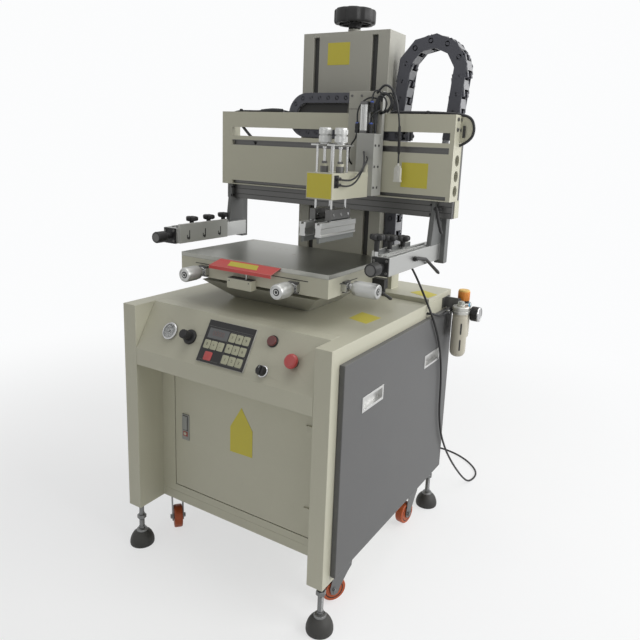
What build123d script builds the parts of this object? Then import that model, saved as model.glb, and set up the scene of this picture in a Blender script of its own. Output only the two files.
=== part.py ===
from build123d import *
import os
from math import cos, radians, sin, tan

os.makedirs("parts", exist_ok=True)

# Frame: X to the machine's right, seen from the front, Y to the back, Z up, floor at zero.
# The origin is on the floor under the middle of the whole outline, so the machine's own
# centre plane lies left of it, because the air service unit stands out on the right.
mid_x = -30.0
front_y = -388.0

# Cabinet
cabinet_width = 700.0
cabinet_depth = 765.0
cabinet_height = 638.0
floor_gap = 143.0
side_wall = 48.0
pan_sheet = 30.0
rear_sheet = 16.0
top_sheet = 12.0
recess_depth = 98.0
frame_sheet = 20.0

# Console above the recess
apron_bottom = 606.0
apron_top = 655.0
slope_run = 75.0

# Front door, its lock and its lift-off hinges
door_side_margin = 53.5
door_width = cabinet_width - 2 * (side_wall + door_side_margin)
door_height = 358.0
door_rise = 56.0
door_sheet = 18.0
door_gap = 3.0
hinge_radius = 5.0
hinge_pin_radius = 2.5
hinge_half = 30.0
hinge_inset = 60.0
hinge_leaf = 2.5
hinge_leaf_width = 26.0
running_gap = 0.05
lock_width = 26.0
lock_height = 81.0
lock_inset = 30.0
lock_rise = 161.0
lock_button_radius = 5.0

# Dark side panels and their recessed grips
panel_sheet = 16.0
panel_height = 576.0
panel_front = 36.0
panel_length = cabinet_depth - panel_front - 15
panel_rise = 20.0
grip_length = 119.0
grip_height = 42.0
grip_lip = 3.0
grip_wall = 4.0
grip_depth = 12.0
grip_front = 133.0
grip_pitch = 402.0
grip_rise = 441.0

# Levelling feet
foot_side = cabinet_width / 2 - 20
foot_front = 29.0
foot_back = cabinet_depth - 18
pad_radius = 35.0
pad_height = 45.0
pad_rim = 20.0
cup_radius = 17.0
cup_height = 7.0
stem_radius = 8.0
nut_width = 24.0
nut_height = 13.0
nut_drop = 22.0

# Swivel castors
castor_side = cabinet_width / 2 - 35
castor_front = 165.0
castor_back = cabinet_depth - 145
castor_plate = 62.0
castor_plate_sheet = 4.0
race_radius = 22.0
race_height = 7.0
fork_head_height = 12.0
wheel_radius = 36.0
wheel_width = 26.0
wheel_clear = 8.0
wheel_trail = 28.0
fork_sheet = 3.0
wheel_gap = 2.0
axle_radius = 5.0
castor_headings = {"front_left": 50.0, "front_right": -35.0, "rear_left": 25.0, "rear_right": -8.0}

# Rear cover on the cabinet's top
cover_front = 575.0
cover_height = 14.0
cover_margin = 3.0

# Column with its two guide slots and the adjusting wheel on top
column_width = 310.0
column_depth = 110.0
column_front = 594.0
column_height = 810.0
slot_width = 20.0
slot_depth = 40.0
slot_spacing = 210.0
slot_bottom = 870.0
slot_top_margin = 13.0
boss_radius = 20.0
boss_height = 15.0
shaft_radius = 8.0
shaft_depth = 38.0
wheel_hub_height = 15.0
handwheel_radius = 66.0
handwheel_height = 45.0
handwheel_lobes = 8
lobe_radius = 11.0

# Upright energy chain beside the column
chain_thickness = 38.0
chain_pitch = 176.0
chain_width = 54.0
chain_front = 624.0
chain_left = 158.0
chain_bottom = 920.0
chain_kink = 1300.0
chain_rise = 166.0
chain_low_end = 18.0
chain_lean = 5.4
chain_facets = 10

# Table: pedestal, cross slide, box and plate
table_width = 504.0
table_depth = 336.0
table_front = 134.0
table_top = 926.0
table_plate_sheet = 12.0
table_box_height = 51.0
saddle_height = 16.0
saddle_width = 300.0
saddle_depth = 220.0
pedestal_foot_width = 269.0
pedestal_foot_depth = 180.0
pedestal_shift = -25.0
pedestal_head_width = 400.0
pedestal_head_depth = 280.0
knob_radius = 20.0
knob_length = 55.0
side_knob_length = 72.0
knob_neck_radius = 12.0
knob_neck_length = 20.0
knob_bracket = 30.0
knob_bracket_sheet = 9.0
front_knob_left = -162.0
front_knob_right = 149.0
front_knob_z = 881.0
side_knob_y = 217.0
side_knob_z = 884.0
sensor_left = -60.0
sensor_width = 83.0
sensor_depth = 24.0
sensor_bottom = 852.0
sensor_height = 29.0
sensor_rod_radius = 1.5
sensor_rod_length = 24.0
shelf_sheet = 2.0
shelf_drop = 19.0
shelf_reach = 19.0
shelf_lip = 8.0
shelf_front_left = -128.0
shelf_front_right = 86.0
shelf_rear_left = -102.0
shelf_rear_right = 104.0

# Printing head: beam across the column
beam_left = 416.0
beam_front = 502.0
beam_depth = 78.0
beam_bottom = 1102.0
beam_top = 1342.0
beam_sheet = 12.0
beam_end_sheet = 13.0
beam_left_post = 30.0
top_bar_height = 50.0
window_height = 28.0
light_rail_height = 13.0
groove_height = 17.0
low_groove_height = 11.0
bottom_lip = 3.0
guide_radius = 10.0
guide_drop = 101.0
guide_setback = 38.0
ear_setback = 43.0
ear_radius = 37.0
ear_drop = 38.0
ear_sheet = 4.0
lift_plate_width = 280.0
lift_plate_sheet = 9.0
lift_plate_bottom = 1120.0
lift_tongue = 19.4
lift_tongue_depth = 30.0
beam_chain_radius = 68.0
beam_chain_thickness = 30.0
beam_chain_width = 44.0
beam_chain_x = -83.0
beam_chain_reach = 120.0
beam_chain_low_reach = 250.0
rail_depth = 46.0
rail_front = 530.0
rail_height = 50.0

# Frame arms
gusset_front = 500.0
gusset_taper = 18.0
gusset_sheet = 12.0
post_width = 30.0
post_depth = 28.0
post_bottom = 912.0
arm_gap = 0.3
holder_width = 48.0
holder_front = 233.0
holder_bottom = 923.0
holder_height = 49.0
arm_places = {"left": (-394.0, -390.0, -401.0), "right": (346.0, 364.0, 370.0)}
clamp_plate_length = 227.0
clamp_plate_sheet = 8.0
clamp_plate_inset = 7.0
clamp_plate_rise = 12.0
end_plate_sheet = 6.0
end_neck_radius = 9.0
end_neck_length = 27.0
end_knob_shift = 5.0
end_knob_radius = 17.5
end_knob_length = 36.0
star_radius = 21.0
star_height = 16.0
star_arm_radius = 7.0
star_stem_radius = 5.0
star_rows = {
    "left": (-394.0, ((326.0, 13.0), (406.0, 13.0), (480.0, 15.0))),
    "right": (330.0, ((236.0, 42.0), (312.0, 32.0), (396.0, 22.0))),
}
lever_radius = 5.0

# Carriage on the beam
carriage_left = 88.0
carriage_right = 200.0
carriage_back_gap = 5.0
carriage_sheet = 15.0
carriage_top = 1403.0
carriage_bottom = 1106.0
casting_width = 57.0
casting_depth = 42.0
casting_top = 1283.0
slider_width = 84.0
slider_depth = 34.0
slider_height = 30.0
tongue_slack = 3.0
cylinder_width = 22.0
cylinder_depth = 30.0
cylinder_height = 89.0
fitting_radius = 7.0
fitting_height = 34.0
bracket_left = 105.0
bracket_width = 81.0
bracket_front = 240.0
bracket_bottom = 1103.0
bracket_height = 70.0

# Squeegee units under the bracket
unit_first = 123.0
unit_pitch = 50.0
unit_y = 300.0
rod_spacing = 75.0
rod_radius = 3.2
rod_bottom = 1076.0
bridge_bottom = 1244.0
bridge_height = 4.0
bridge_length = 104.0
bridge_width = 24.0
piston_radius = 4.0
piston_length = 90.0
piston_housing_radius = 11.0
piston_housing_height = 24.0
piston_bore_depth = 88.0
unit_knob_radius = 17.5
unit_knob_height = 44.0
foot_block_height = 32.0
foot_block_width = 18.0
foot_block_length = 104.0
bar_front = 200.0
bar_length = 185.0
bar_width = 20.0
bar_height = 38.0
blade_width = 8.0
blade_height = 16.0

# Console fittings, each as distance across from the centre and up the slope
gauge_place = (-200.0, 71.0)
gauge_radius = 25.0
gauge_height = 8.0
pressure_knob_place = (-125.0, 69.0)
pressure_flange_radius = 21.0
pressure_flange_height = 8.0
pressure_knob_radius = 12.5
pressure_knob_height = 29.0
push_button_place = (140.0, 110.0)
push_button_radius = 16.0
push_button_height = 11.0
selector_place = (140.0, 30.0)
selector_radius = 12.5
selector_height = 18.0
stop_place = (222.0, 70.0)
stop_radius = 19.0
stop_head_height = 14.0
stop_travel = 6.0
ring_wall = 6.0
ring_height = 5.0
control_stem_radius = 6.0
control_stem_length = 20.0
control_bore_depth = 34.0
keypad_width = 160.0
keypad_height = 118.0
keypad_sheet = 6.0
keypad_place = (4.5, 71.0)

# Air service unit on the right side
lubricator_place = (cabinet_width / 2 + 61, cabinet_depth - 65)
filter_place = (cabinet_width / 2 + 49, cabinet_depth - 10)
head_radius = 27.0
unit_link_radius = 10.0
unit_link_z = 746.0
head_bottom = 735.0
head_height = 25.0
bowl_radius = 25.0
lubricator_bowl = 143.0
filter_bowl = 100.0
bowl_round = 12.0
dome_radius = 13.0
dome_height = 17.0
air_knob_radius = 19.5
air_knob_height = 42.0
gauge_stub_radius = 5.0
dial_radius = 24.0
dial_depth = 30.0
dial_front = cabinet_width / 2 + 111
dial_z = 729.0
arm_plate_sheet = 6.0
arm_plate_y = cabinet_depth - 46
arm_plate_height = 34.0
arm_foot_width = 60.0
arm_foot_sheet = 3.0

# Hoses and cords
hose_radius = 4.0
thin_hose_radius = 2.5
signal_cord_radius = 2.5
connector_width = 22.0
connector_depth = 13.0
connector_height = 48.0
mains_radius = 3.5
gland_radius = 9.0
gland_length = 16.0
coil_radius = 39.0
coil_turn_band = 14.0
coil_height = 21.0
plug_width = 36.0
plug_length = 48.0
plug_height = 26.0

# Worked out from the sizes above
top_z = floor_gap + cabinet_height
pan_top = floor_gap + pan_sheet
back_y = front_y + cabinet_depth
wall_inner = cabinet_width / 2 - side_wall
recess_y = front_y + recess_depth
frame_back = recess_y + frame_sheet
slope_rise = top_z - apron_top
column_y = front_y + column_front
column_back = column_y + column_depth
column_top = top_z + column_height
beam_y = front_y + beam_front
beam_back = beam_y + beam_depth

slope = Plane(origin=(mid_x, front_y, apron_top), x_dir=(1, 0, 0), z_dir=(0, -slope_rise, slope_run))


def block(x_from, x_to, y_from, y_to, z_from, z_to, mode=Mode.ADD):
    """A box between two values on each axis, in the open part."""
    with Locations(((x_from + x_to) / 2, (y_from + y_to) / 2, (z_from + z_to) / 2)):
        Box(abs(x_to - x_from), abs(y_to - y_from), abs(z_to - z_from), mode=mode)


def rod(start, direction, radius, length, mode=Mode.ADD):
    """A round bar that starts at a point and runs along a direction, in the open part."""
    with Locations(Plane(origin=start, z_dir=direction)):
        Cylinder(radius, length, align=(Align.CENTER, Align.CENTER, Align.MIN), mode=mode)


def bar_between(start, end, radius, mode=Mode.ADD):
    """A round bar from one point to another, in the open part."""
    run = Vector(end) - Vector(start)
    rod(start, run, radius, run.length, mode=mode)


def slope_plane(place, out=0.0):
    """The plane of a console fitting: a place on the slope, moved outwards by a distance."""
    centre = slope.from_local_coords((place[0], place[1], out))
    return Plane(origin=centre, x_dir=slope.x_dir, z_dir=slope.z_dir)


def disc_on_slope(place, radius, height, out=0.0, mode=Mode.ADD):
    """A round piece that stands on the console slope, in the open part."""
    with Locations(slope_plane(place, out)):
        Cylinder(radius, height, align=(Align.CENTER, Align.CENTER, Align.MIN), mode=mode)


def bend_radii(points):
    """Bend radii of a cord: 0.45 of the shorter run over the tangent of half the turn."""
    radii = []
    for before, corner, after in zip(points, points[1:], points[2:]):
        run_in = Vector(corner) - Vector(before)
        run_out = Vector(after) - Vector(corner)
        half_turn = radians(run_in.get_angle(run_out) / 2)
        radii.append(0.45 * min(run_in.length, run_out.length) / tan(half_turn))
    return radii


def tube(points, radius):
    """A round tube along straight runs joined by tangent arcs, in the open part."""
    with BuildLine():
        route = FilletPolyline(*points, radius=bend_radii(points))
    with BuildSketch(Plane(origin=route @ 0, z_dir=route % 0)) as section:
        Circle(radius)
    sweep(sections=section.sketch, path=route)
    return route.length


def finish(builder, name):
    """Labels a finished piece and writes it."""
    builder.part.label = name
    export_step(builder.part, f"parts/{name}.step")


# Cabinet shell: two walls, pan, back and top, open at the front
with BuildPart() as cabinet_shell:
    for side in (-1, 1):
        block(mid_x + side * wall_inner, mid_x + side * cabinet_width / 2, front_y, back_y, floor_gap, top_z)
    block(mid_x - wall_inner, mid_x + wall_inner, recess_y, back_y, floor_gap, pan_top)
    block(mid_x - wall_inner, mid_x + wall_inner, back_y - rear_sheet, back_y, floor_gap, top_z)
    block(mid_x - wall_inner, mid_x + wall_inner, frame_back, back_y, top_z - top_sheet, top_z)
finish(cabinet_shell, "cabinet_shell")

# Console: a closed box with a sloping face, bored behind the knobs
with BuildPart() as console:
    with BuildSketch(Plane(origin=(mid_x - wall_inner, 0, 0), x_dir=(0, 1, 0), z_dir=(1, 0, 0))):
        with BuildLine():
            Polyline(
                (front_y, apron_bottom),
                (front_y, apron_top),
                (front_y + slope_run, top_z),
                (frame_back, top_z),
                (frame_back, apron_bottom),
                close=True,
            )
        make_face()
    extrude(amount=2 * wall_inner)
    for place in (pressure_knob_place, selector_place, stop_place):
        disc_on_slope(
            place, control_stem_radius + running_gap, control_bore_depth, -control_bore_depth, Mode.SUBTRACT
        )
finish(console, "console")

# Front frame round the door, with the lower hinge halves and their pins
door_left = mid_x - door_width / 2
door_right = mid_x + door_width / 2
door_bottom = floor_gap + door_rise
door_top = door_bottom + door_height
hinge_x = door_right + door_gap
hinge_y = recess_y - hinge_leaf - hinge_radius / 2
hinge_levels = (door_bottom + hinge_inset, door_top - hinge_inset)

with BuildPart() as front_frame:
    block(mid_x - wall_inner, mid_x + wall_inner, recess_y, frame_back, pan_top, apron_bottom)
    block(
        door_left - door_gap,
        door_right + door_gap,
        recess_y,
        frame_back,
        door_bottom - door_gap,
        door_top + door_gap,
        mode=Mode.SUBTRACT,
    )
    for level in hinge_levels:
        rod((hinge_x, hinge_y, level - hinge_half), (0, 0, 1), hinge_radius, hinge_half)
        rod((hinge_x, hinge_y, level), (0, 0, 1), hinge_pin_radius, hinge_half - hinge_radius)
        block(hinge_x, hinge_x + hinge_leaf_width, hinge_y, recess_y, level - hinge_half, level)
finish(front_frame, "front_frame")

with BuildPart() as front_door:
    block(door_left, door_right, recess_y, recess_y + door_sheet, door_bottom, door_top)
    for level in hinge_levels:
        rod((hinge_x, hinge_y, level), (0, 0, 1), hinge_radius, hinge_half)
        block(hinge_x - hinge_leaf_width, hinge_x, hinge_y, recess_y, level, level + hinge_half)
        rod((hinge_x, hinge_y, level), (0, 0, 1), hinge_pin_radius + running_gap, hinge_half, Mode.SUBTRACT)
    lock_left = door_left + lock_inset
    lock_bottom = door_bottom + lock_rise
    block(lock_left, lock_left + lock_width, recess_y - 3, recess_y, lock_bottom, lock_bottom + lock_height)
    button_centre = (lock_left + lock_width / 2, recess_y, lock_bottom + lock_height / 4)
    rod(button_centre, (0, -1, 0), lock_button_radius, 6)
finish(front_door, "front_door")

# Side panels with a window for each recessed grip, and the grips
grip_starts = (front_y + grip_front, front_y + grip_front + grip_pitch)
grip_z = floor_gap + grip_rise
cup_length = grip_length - 2 * grip_lip
cup_height_side = grip_height - 2 * grip_lip
with BuildPart() as side_panels:
    for side in (-1, 1):
        inner = mid_x + side * cabinet_width / 2
        outer = inner + side * panel_sheet
        panel_bottom = floor_gap + panel_rise
        y_from = front_y + panel_front
        block(inner, outer, y_from, y_from + panel_length, panel_bottom, panel_bottom + panel_height)
        for start in grip_starts:
            block(
                inner,
                outer,
                start + grip_lip,
                start + grip_lip + cup_length,
                grip_z + grip_lip,
                grip_z + grip_lip + cup_height_side,
                mode=Mode.SUBTRACT,
            )
finish(side_panels, "side_panels")

with BuildPart() as panel_grips:
    for side in (-1, 1):
        outer = mid_x + side * (cabinet_width / 2 + panel_sheet)
        for start in grip_starts:
            block(outer, outer + side * 1.5, start, start + grip_length, grip_z, grip_z + grip_height)
            block(
                outer - side * (grip_depth + 2),
                outer,
                start + grip_lip,
                start + grip_lip + cup_length,
                grip_z + grip_lip,
                grip_z + grip_lip + cup_height_side,
            )
            block(
                outer - side * grip_depth,
                outer + side * 1.5,
                start + grip_lip + grip_wall,
                start + grip_lip + cup_length - grip_wall,
                grip_z + grip_lip + grip_wall,
                grip_z + grip_lip + cup_height_side - grip_wall,
                mode=Mode.SUBTRACT,
            )
finish(panel_grips, "panel_grips")

# Levelling feet
foot_places = [
    (mid_x + side * foot_side, front_y + depth) for side in (-1, 1) for depth in (foot_front, foot_back)
]
with BuildPart() as foot_pads:
    for x, y in foot_places:
        with BuildSketch(Plane(origin=(x, y, 0), x_dir=(1, 0, 0), z_dir=(0, -1, 0))):
            with BuildLine():
                Polyline((0, pad_height), (0, 0), (pad_radius, 0), (pad_radius, pad_rim))
                ThreePointArc(
                    (pad_radius, pad_rim),
                    (pad_radius * 0.82, pad_rim + (pad_height - pad_rim) * 0.66),
                    (cup_radius, pad_height),
                )
                Line((cup_radius, pad_height), (0, pad_height))
            make_face()
        revolve(axis=Axis((x, y, 0), (0, 0, 1)))
finish(foot_pads, "foot_pads")

with BuildPart() as foot_stems:
    for x, y in foot_places:
        rod((x, y, pad_height), (0, 0, 1), cup_radius, cup_height)
        rod((x, y, pad_height + cup_height), (0, 0, 1), stem_radius, floor_gap - pad_height - cup_height)
        with BuildSketch(Plane.XY.offset(floor_gap - nut_drop - nut_height)):
            with Locations((x, y)):
                RegularPolygon(nut_width / 2, 6, major_radius=False)
        extrude(amount=nut_height)
finish(foot_stems, "foot_stems")

# Castors: plates under the cabinet, then a fork and a wheel for each
race_bottom = floor_gap - castor_plate_sheet - race_height
fork_head_bottom = race_bottom - fork_head_height
axle_z = wheel_clear + wheel_radius
leg_inner = wheel_width / 2 + wheel_gap
castor_axes = {
    "front_left": (mid_x - castor_side, front_y + castor_front),
    "front_right": (mid_x + castor_side, front_y + castor_front),
    "rear_left": (mid_x - castor_side, front_y + castor_back),
    "rear_right": (mid_x + castor_side, front_y + castor_back),
}
with BuildPart() as castor_plates:
    for x, y in castor_axes.values():
        half = castor_plate / 2
        block(x - half, x + half, y - half, y + half, floor_gap - castor_plate_sheet, floor_gap)
        rod((x, y, race_bottom), (0, 0, 1), race_radius, race_height)
finish(castor_plates, "castor_plates")

for corner, (x, y) in castor_axes.items():
    turned = Plane(origin=(x, y, 0)).rotated((0, 0, castor_headings[corner]))
    axle_line = Plane(
        origin=turned.from_local_coords((0, -wheel_trail, axle_z)), x_dir=turned.y_dir, z_dir=turned.x_dir
    )
    with BuildPart() as castor_fork:
        rod((x, y, fork_head_bottom), (0, 0, 1), race_radius + fork_sheet, fork_head_height)
        for side in (-1, 1):
            leg_plane = Plane(
                origin=turned.from_local_coords((side * leg_inner, 0, 0)),
                x_dir=turned.y_dir,
                z_dir=turned.x_dir * side,
            )
            flip = side
            with BuildSketch(leg_plane):
                with BuildLine():
                    Polyline(
                        (race_radius, flip * race_bottom),
                        (-race_radius, flip * race_bottom),
                        (-wheel_trail - 12, flip * (axle_z + 4)),
                        (-wheel_trail - 8, flip * (axle_z - 11)),
                        (-wheel_trail + 8, flip * (axle_z - 11)),
                        (-wheel_trail + 14, flip * (axle_z + 6)),
                        close=True,
                    )
                make_face()
            extrude(amount=fork_sheet)
        with Locations(axle_line):
            Cylinder(axle_radius, 2 * (leg_inner + fork_sheet))
    finish(castor_fork, f"castor_fork_{corner}")
    with BuildPart() as castor_wheel:
        with Locations(axle_line):
            Cylinder(wheel_radius, wheel_width)
            Cylinder(axle_radius + running_gap, wheel_width, mode=Mode.SUBTRACT)
    finish(castor_wheel, f"castor_wheel_{corner}")

# Rear cover, in two halves beside the column, with the post that holds the chain's lower end
with BuildPart() as rear_cover:
    for side in (-1, 1):
        block(
            mid_x + side * (column_width / 2 + cover_margin),
            mid_x + side * cabinet_width / 2,
            front_y + cover_front,
            back_y,
            top_z,
            top_z + cover_height,
        )
    block(
        mid_x + chain_left,
        mid_x + chain_left + chain_thickness,
        front_y + chain_front,
        front_y + chain_front + chain_width,
        top_z,
        chain_bottom,
    )
finish(rear_cover, "rear_cover")

# Column with guide slots and the bearing boss of the adjusting wheel
boss_y = (column_y + column_back) / 2
with BuildPart() as column:
    block(mid_x - column_width / 2, mid_x + column_width / 2, column_y, column_back, top_z, column_top)
    for side in (-1, 1):
        slot_x = mid_x + side * slot_spacing / 2
        block(
            slot_x - slot_width / 2,
            slot_x + slot_width / 2,
            column_y,
            column_y + slot_depth,
            slot_bottom,
            column_top - slot_top_margin,
            mode=Mode.SUBTRACT,
        )
    rod((mid_x, boss_y, column_top), (0, 0, 1), boss_radius, boss_height)
    rod(
        (mid_x, boss_y, column_top + boss_height),
        (0, 0, -1),
        shaft_radius + running_gap,
        shaft_depth + 2,
        Mode.SUBTRACT,
    )
finish(column, "column")

with BuildPart() as handwheel:
    hub_z = column_top + boss_height
    rod((mid_x, boss_y, hub_z), (0, 0, 1), boss_radius, wheel_hub_height)
    rod((mid_x, boss_y, hub_z), (0, 0, -1), shaft_radius, shaft_depth)
    with BuildSketch(Plane.XY.offset(hub_z + wheel_hub_height)):
        with Locations((mid_x, boss_y)):
            Circle(handwheel_radius - lobe_radius / 2)
            with PolarLocations(handwheel_radius - lobe_radius, handwheel_lobes):
                Circle(lobe_radius)
    extrude(amount=handwheel_height)
finish(handwheel, "handwheel")

# Upright energy chain: one fixed loop of stiff links that leans a little above the beam
chain_outer = (chain_pitch + chain_thickness) / 2
chain_inner = (chain_pitch - chain_thickness) / 2
chain_x = mid_x + chain_left + chain_outer
lean = radians(chain_lean)
facet_turn = 180 / chain_facets
chain_plane = Plane(
    origin=(chain_x, front_y + chain_front, chain_kink), x_dir=(cos(lean), 0, -sin(lean)), z_dir=(0, -1, 0)
)
with BuildPart() as lift_chain:
    with BuildSketch(chain_plane):
        with Locations((0, chain_rise)):
            RegularPolygon(chain_outer, chain_facets, major_radius=False, rotation=facet_turn)
            RegularPolygon(
                chain_inner, chain_facets, major_radius=False, rotation=facet_turn, mode=Mode.SUBTRACT
            )
            Rectangle(3 * chain_outer, 2 * chain_outer, align=(Align.CENTER, Align.MAX), mode=Mode.SUBTRACT)
        for side, low_end in ((-1, 0.0), (1, chain_low_end)):
            with Locations((side * chain_pitch / 2, -low_end)):
                Rectangle(chain_thickness, chain_rise + low_end, align=(Align.CENTER, Align.MIN))
    extrude(amount=-chain_width)
    block(
        mid_x + chain_left,
        mid_x + chain_left + chain_thickness,
        front_y + chain_front,
        front_y + chain_front + chain_width,
        chain_bottom,
        chain_kink + chain_thickness / 2,
    )
finish(lift_chain, "lift_chain")

# Table
table_y = front_y + table_front
table_mid_y = table_y + table_depth / 2
box_bottom = table_top - table_plate_sheet - table_box_height
saddle_bottom = box_bottom - saddle_height
with BuildPart() as table_pedestal:
    with BuildSketch(Plane.XY.offset(top_z)):
        with Locations((mid_x + pedestal_shift, table_mid_y + 50)):
            Rectangle(pedestal_foot_width, pedestal_foot_depth)
    with BuildSketch(Plane.XY.offset(saddle_bottom)):
        with Locations((mid_x, table_mid_y)):
            Rectangle(pedestal_head_width, pedestal_head_depth)
    loft()
finish(table_pedestal, "table_pedestal")

with BuildPart() as table_saddle:
    with Locations((mid_x, table_mid_y, saddle_bottom + saddle_height / 2)):
        Box(saddle_width, saddle_depth, saddle_height)
finish(table_saddle, "table_saddle")

table_left = mid_x - table_width / 2
table_right = mid_x + table_width / 2
with BuildPart() as table_box:
    block(
        table_left, table_right, table_y, table_y + table_depth, box_bottom, table_top - table_plate_sheet
    )
    for x in (front_knob_left, front_knob_right):
        half = knob_bracket / 2
        block(
            mid_x + x - half,
            mid_x + x + half,
            table_y - knob_bracket_sheet,
            table_y,
            front_knob_z - half,
            front_knob_z + half,
        )
    side_y = front_y + side_knob_y
    block(
        table_right,
        table_right + knob_bracket_sheet,
        side_y - knob_bracket / 2,
        side_y + knob_bracket / 2,
        side_knob_z - knob_bracket / 2,
        side_knob_z + knob_bracket / 2,
    )
finish(table_box, "table_box")

with BuildPart() as table_plate:
    block(
        table_left, table_right, table_y, table_y + table_depth, table_top - table_plate_sheet, table_top
    )
finish(table_plate, "table_plate")


def micrometer_knob(face_point, direction, length=knob_length):
    """A stepped adjusting knob that stands on its bracket, in the open part."""
    rod(face_point, direction, knob_neck_radius, knob_neck_length)
    grip_start = Vector(face_point) + Vector(direction) * knob_neck_length
    rod(grip_start, direction, knob_radius, length)


knob_face_y = table_y - knob_bracket_sheet
with BuildPart() as table_knob_left:
    micrometer_knob((mid_x + front_knob_left, knob_face_y, front_knob_z), (0, -1, 0))
finish(table_knob_left, "table_knob_left")

with BuildPart() as table_knob_right:
    micrometer_knob((mid_x + front_knob_right, knob_face_y, front_knob_z), (0, -1, 0))
finish(table_knob_right, "table_knob_right")

with BuildPart() as table_knob_side:
    micrometer_knob((table_right + knob_bracket_sheet, side_y, side_knob_z), (1, 0, 0), side_knob_length)
finish(table_knob_side, "table_knob_side")

# Sensor box under the table's front edge, with the thin rod up to the red shelf
with BuildPart() as sensor_box:
    box_left = mid_x + sensor_left
    block(
        box_left,
        box_left + sensor_width,
        table_y - sensor_depth,
        table_y,
        sensor_bottom,
        sensor_bottom + sensor_height,
    )
    rod(
        (box_left + sensor_width * 0.7, table_y - sensor_depth / 2, sensor_bottom + sensor_height),
        (0, 0, 1),
        sensor_rod_radius,
        sensor_rod_length,
    )
finish(sensor_box, "sensor_box")

# Red shelf on the table's front edge: a sloping sheet with a lip turned down
shelf_top = table_top - 3
with BuildPart() as warning_shelf:
    shelf_plane = Plane(
        origin=(mid_x, table_y, shelf_top), x_dir=(1, 0, 0), z_dir=(0, -shelf_drop, shelf_reach)
    )
    shelf_slant = (shelf_drop**2 + shelf_reach**2) ** 0.5
    with BuildSketch(shelf_plane):
        with BuildLine():
            Polyline(
                (shelf_front_left, -shelf_slant),
                (shelf_front_right, -shelf_slant),
                (shelf_rear_right, 0),
                (shelf_rear_left, 0),
                close=True,
            )
        make_face()
    extrude(amount=shelf_sheet)
    shelf_front_y = table_y - shelf_reach
    block(
        mid_x + shelf_front_left,
        mid_x + shelf_front_right,
        shelf_front_y - shelf_sheet,
        shelf_front_y,
        shelf_top - shelf_drop - shelf_lip,
        shelf_top - shelf_drop + shelf_sheet,
    )
finish(warning_shelf, "warning_shelf")

# Printing head: beam with a window and two grooves, and the slide that runs in the column
window_top = beam_top - top_bar_height
window_bottom = window_top - window_height
groove_top = window_bottom - light_rail_height
groove_bottom = groove_top - groove_height
low_groove_bottom = beam_bottom + bottom_lip
low_groove_top = low_groove_bottom + low_groove_height
beam_x0 = mid_x - beam_left
beam_x1 = mid_x + beam_left
guide_y = beam_y + guide_setback
guide_z = beam_top - guide_drop
with BuildPart() as beam:
    block(beam_x0, beam_x1, beam_y, beam_y + beam_sheet, window_top, beam_top)
    block(beam_x0, beam_x1, beam_y, beam_y + beam_sheet, groove_top, window_bottom)
    block(beam_x0, beam_x1, beam_y, beam_y + beam_sheet, low_groove_top, groove_bottom)
    block(beam_x0, beam_x1, beam_y, beam_y + beam_sheet, beam_bottom, low_groove_bottom)
    block(beam_x0, beam_x1, beam_back - beam_sheet, beam_back, beam_bottom, window_bottom)
    block(beam_x0, beam_x0 + beam_end_sheet, beam_y, beam_back, beam_bottom, beam_top)
    block(beam_x1 - beam_end_sheet, beam_x1, beam_y, beam_back, beam_bottom, beam_top)
    block(
        beam_x0, beam_x0 + beam_end_sheet + beam_left_post, beam_y, beam_y + beam_sheet, beam_bottom, beam_top
    )
    plate_back = beam_back + lift_plate_sheet
    block(
        mid_x - lift_plate_width / 2,
        mid_x + lift_plate_width / 2,
        beam_back,
        plate_back,
        lift_plate_bottom,
        window_bottom,
    )
    for side in (-1, 1):
        slot_x = mid_x + side * slot_spacing / 2
        block(
            slot_x - lift_tongue / 2,
            slot_x + lift_tongue / 2,
            plate_back,
            column_y + lift_tongue_depth,
            lift_plate_bottom,
            window_bottom,
        )
    with BuildSketch(
        Plane(origin=(beam_x1, beam_y + ear_setback, beam_top - ear_drop), x_dir=(1, 0, 0), z_dir=(0, -1, 0))
    ):
        Circle(ear_radius)
        Rectangle(ear_radius, 2 * ear_radius, align=(Align.MAX, Align.CENTER), mode=Mode.SUBTRACT)
    extrude(amount=-ear_sheet)
finish(beam, "beam")

with BuildPart() as guide_bar:
    start = beam_x0 + beam_end_sheet
    rod((start, guide_y, guide_z), (1, 0, 0), guide_radius, 2 * beam_left - 2 * beam_end_sheet)
finish(guide_bar, "guide_bar")

# Flat energy chain behind the top bar: one fixed loop
beam_chain_y = beam_y + beam_sheet
beam_chain_z = window_bottom + 2 + beam_chain_radius
with BuildPart() as beam_chain:
    with BuildSketch(Plane(origin=(mid_x + beam_chain_x, beam_chain_y, 0), x_dir=(1, 0, 0), z_dir=(0, -1, 0))):
        with Locations((0, beam_chain_z)):
            Circle(beam_chain_radius)
            Circle(beam_chain_radius - beam_chain_thickness, mode=Mode.SUBTRACT)
            Rectangle(
                2 * beam_chain_radius,
                3 * beam_chain_radius,
                align=(Align.MIN, Align.CENTER),
                mode=Mode.SUBTRACT,
            )
        with Locations((0, beam_chain_z + beam_chain_radius)):
            Rectangle(
                beam_chain_reach - beam_chain_x, beam_chain_thickness, align=(Align.MIN, Align.MAX)
            )
        with Locations((0, beam_chain_z - beam_chain_radius)):
            Rectangle(
                beam_chain_low_reach - beam_chain_x, beam_chain_thickness, align=(Align.MIN, Align.MIN)
            )
    extrude(amount=-beam_chain_width)
finish(beam_chain, "beam_chain")

# Rail under the beam that the two frame arms slide on
rail_y = front_y + rail_front
with BuildPart() as arm_rail:
    block(beam_x0, beam_x1, rail_y, rail_y + rail_depth, beam_bottom - rail_height, beam_bottom)
finish(arm_rail, "arm_rail")

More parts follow.
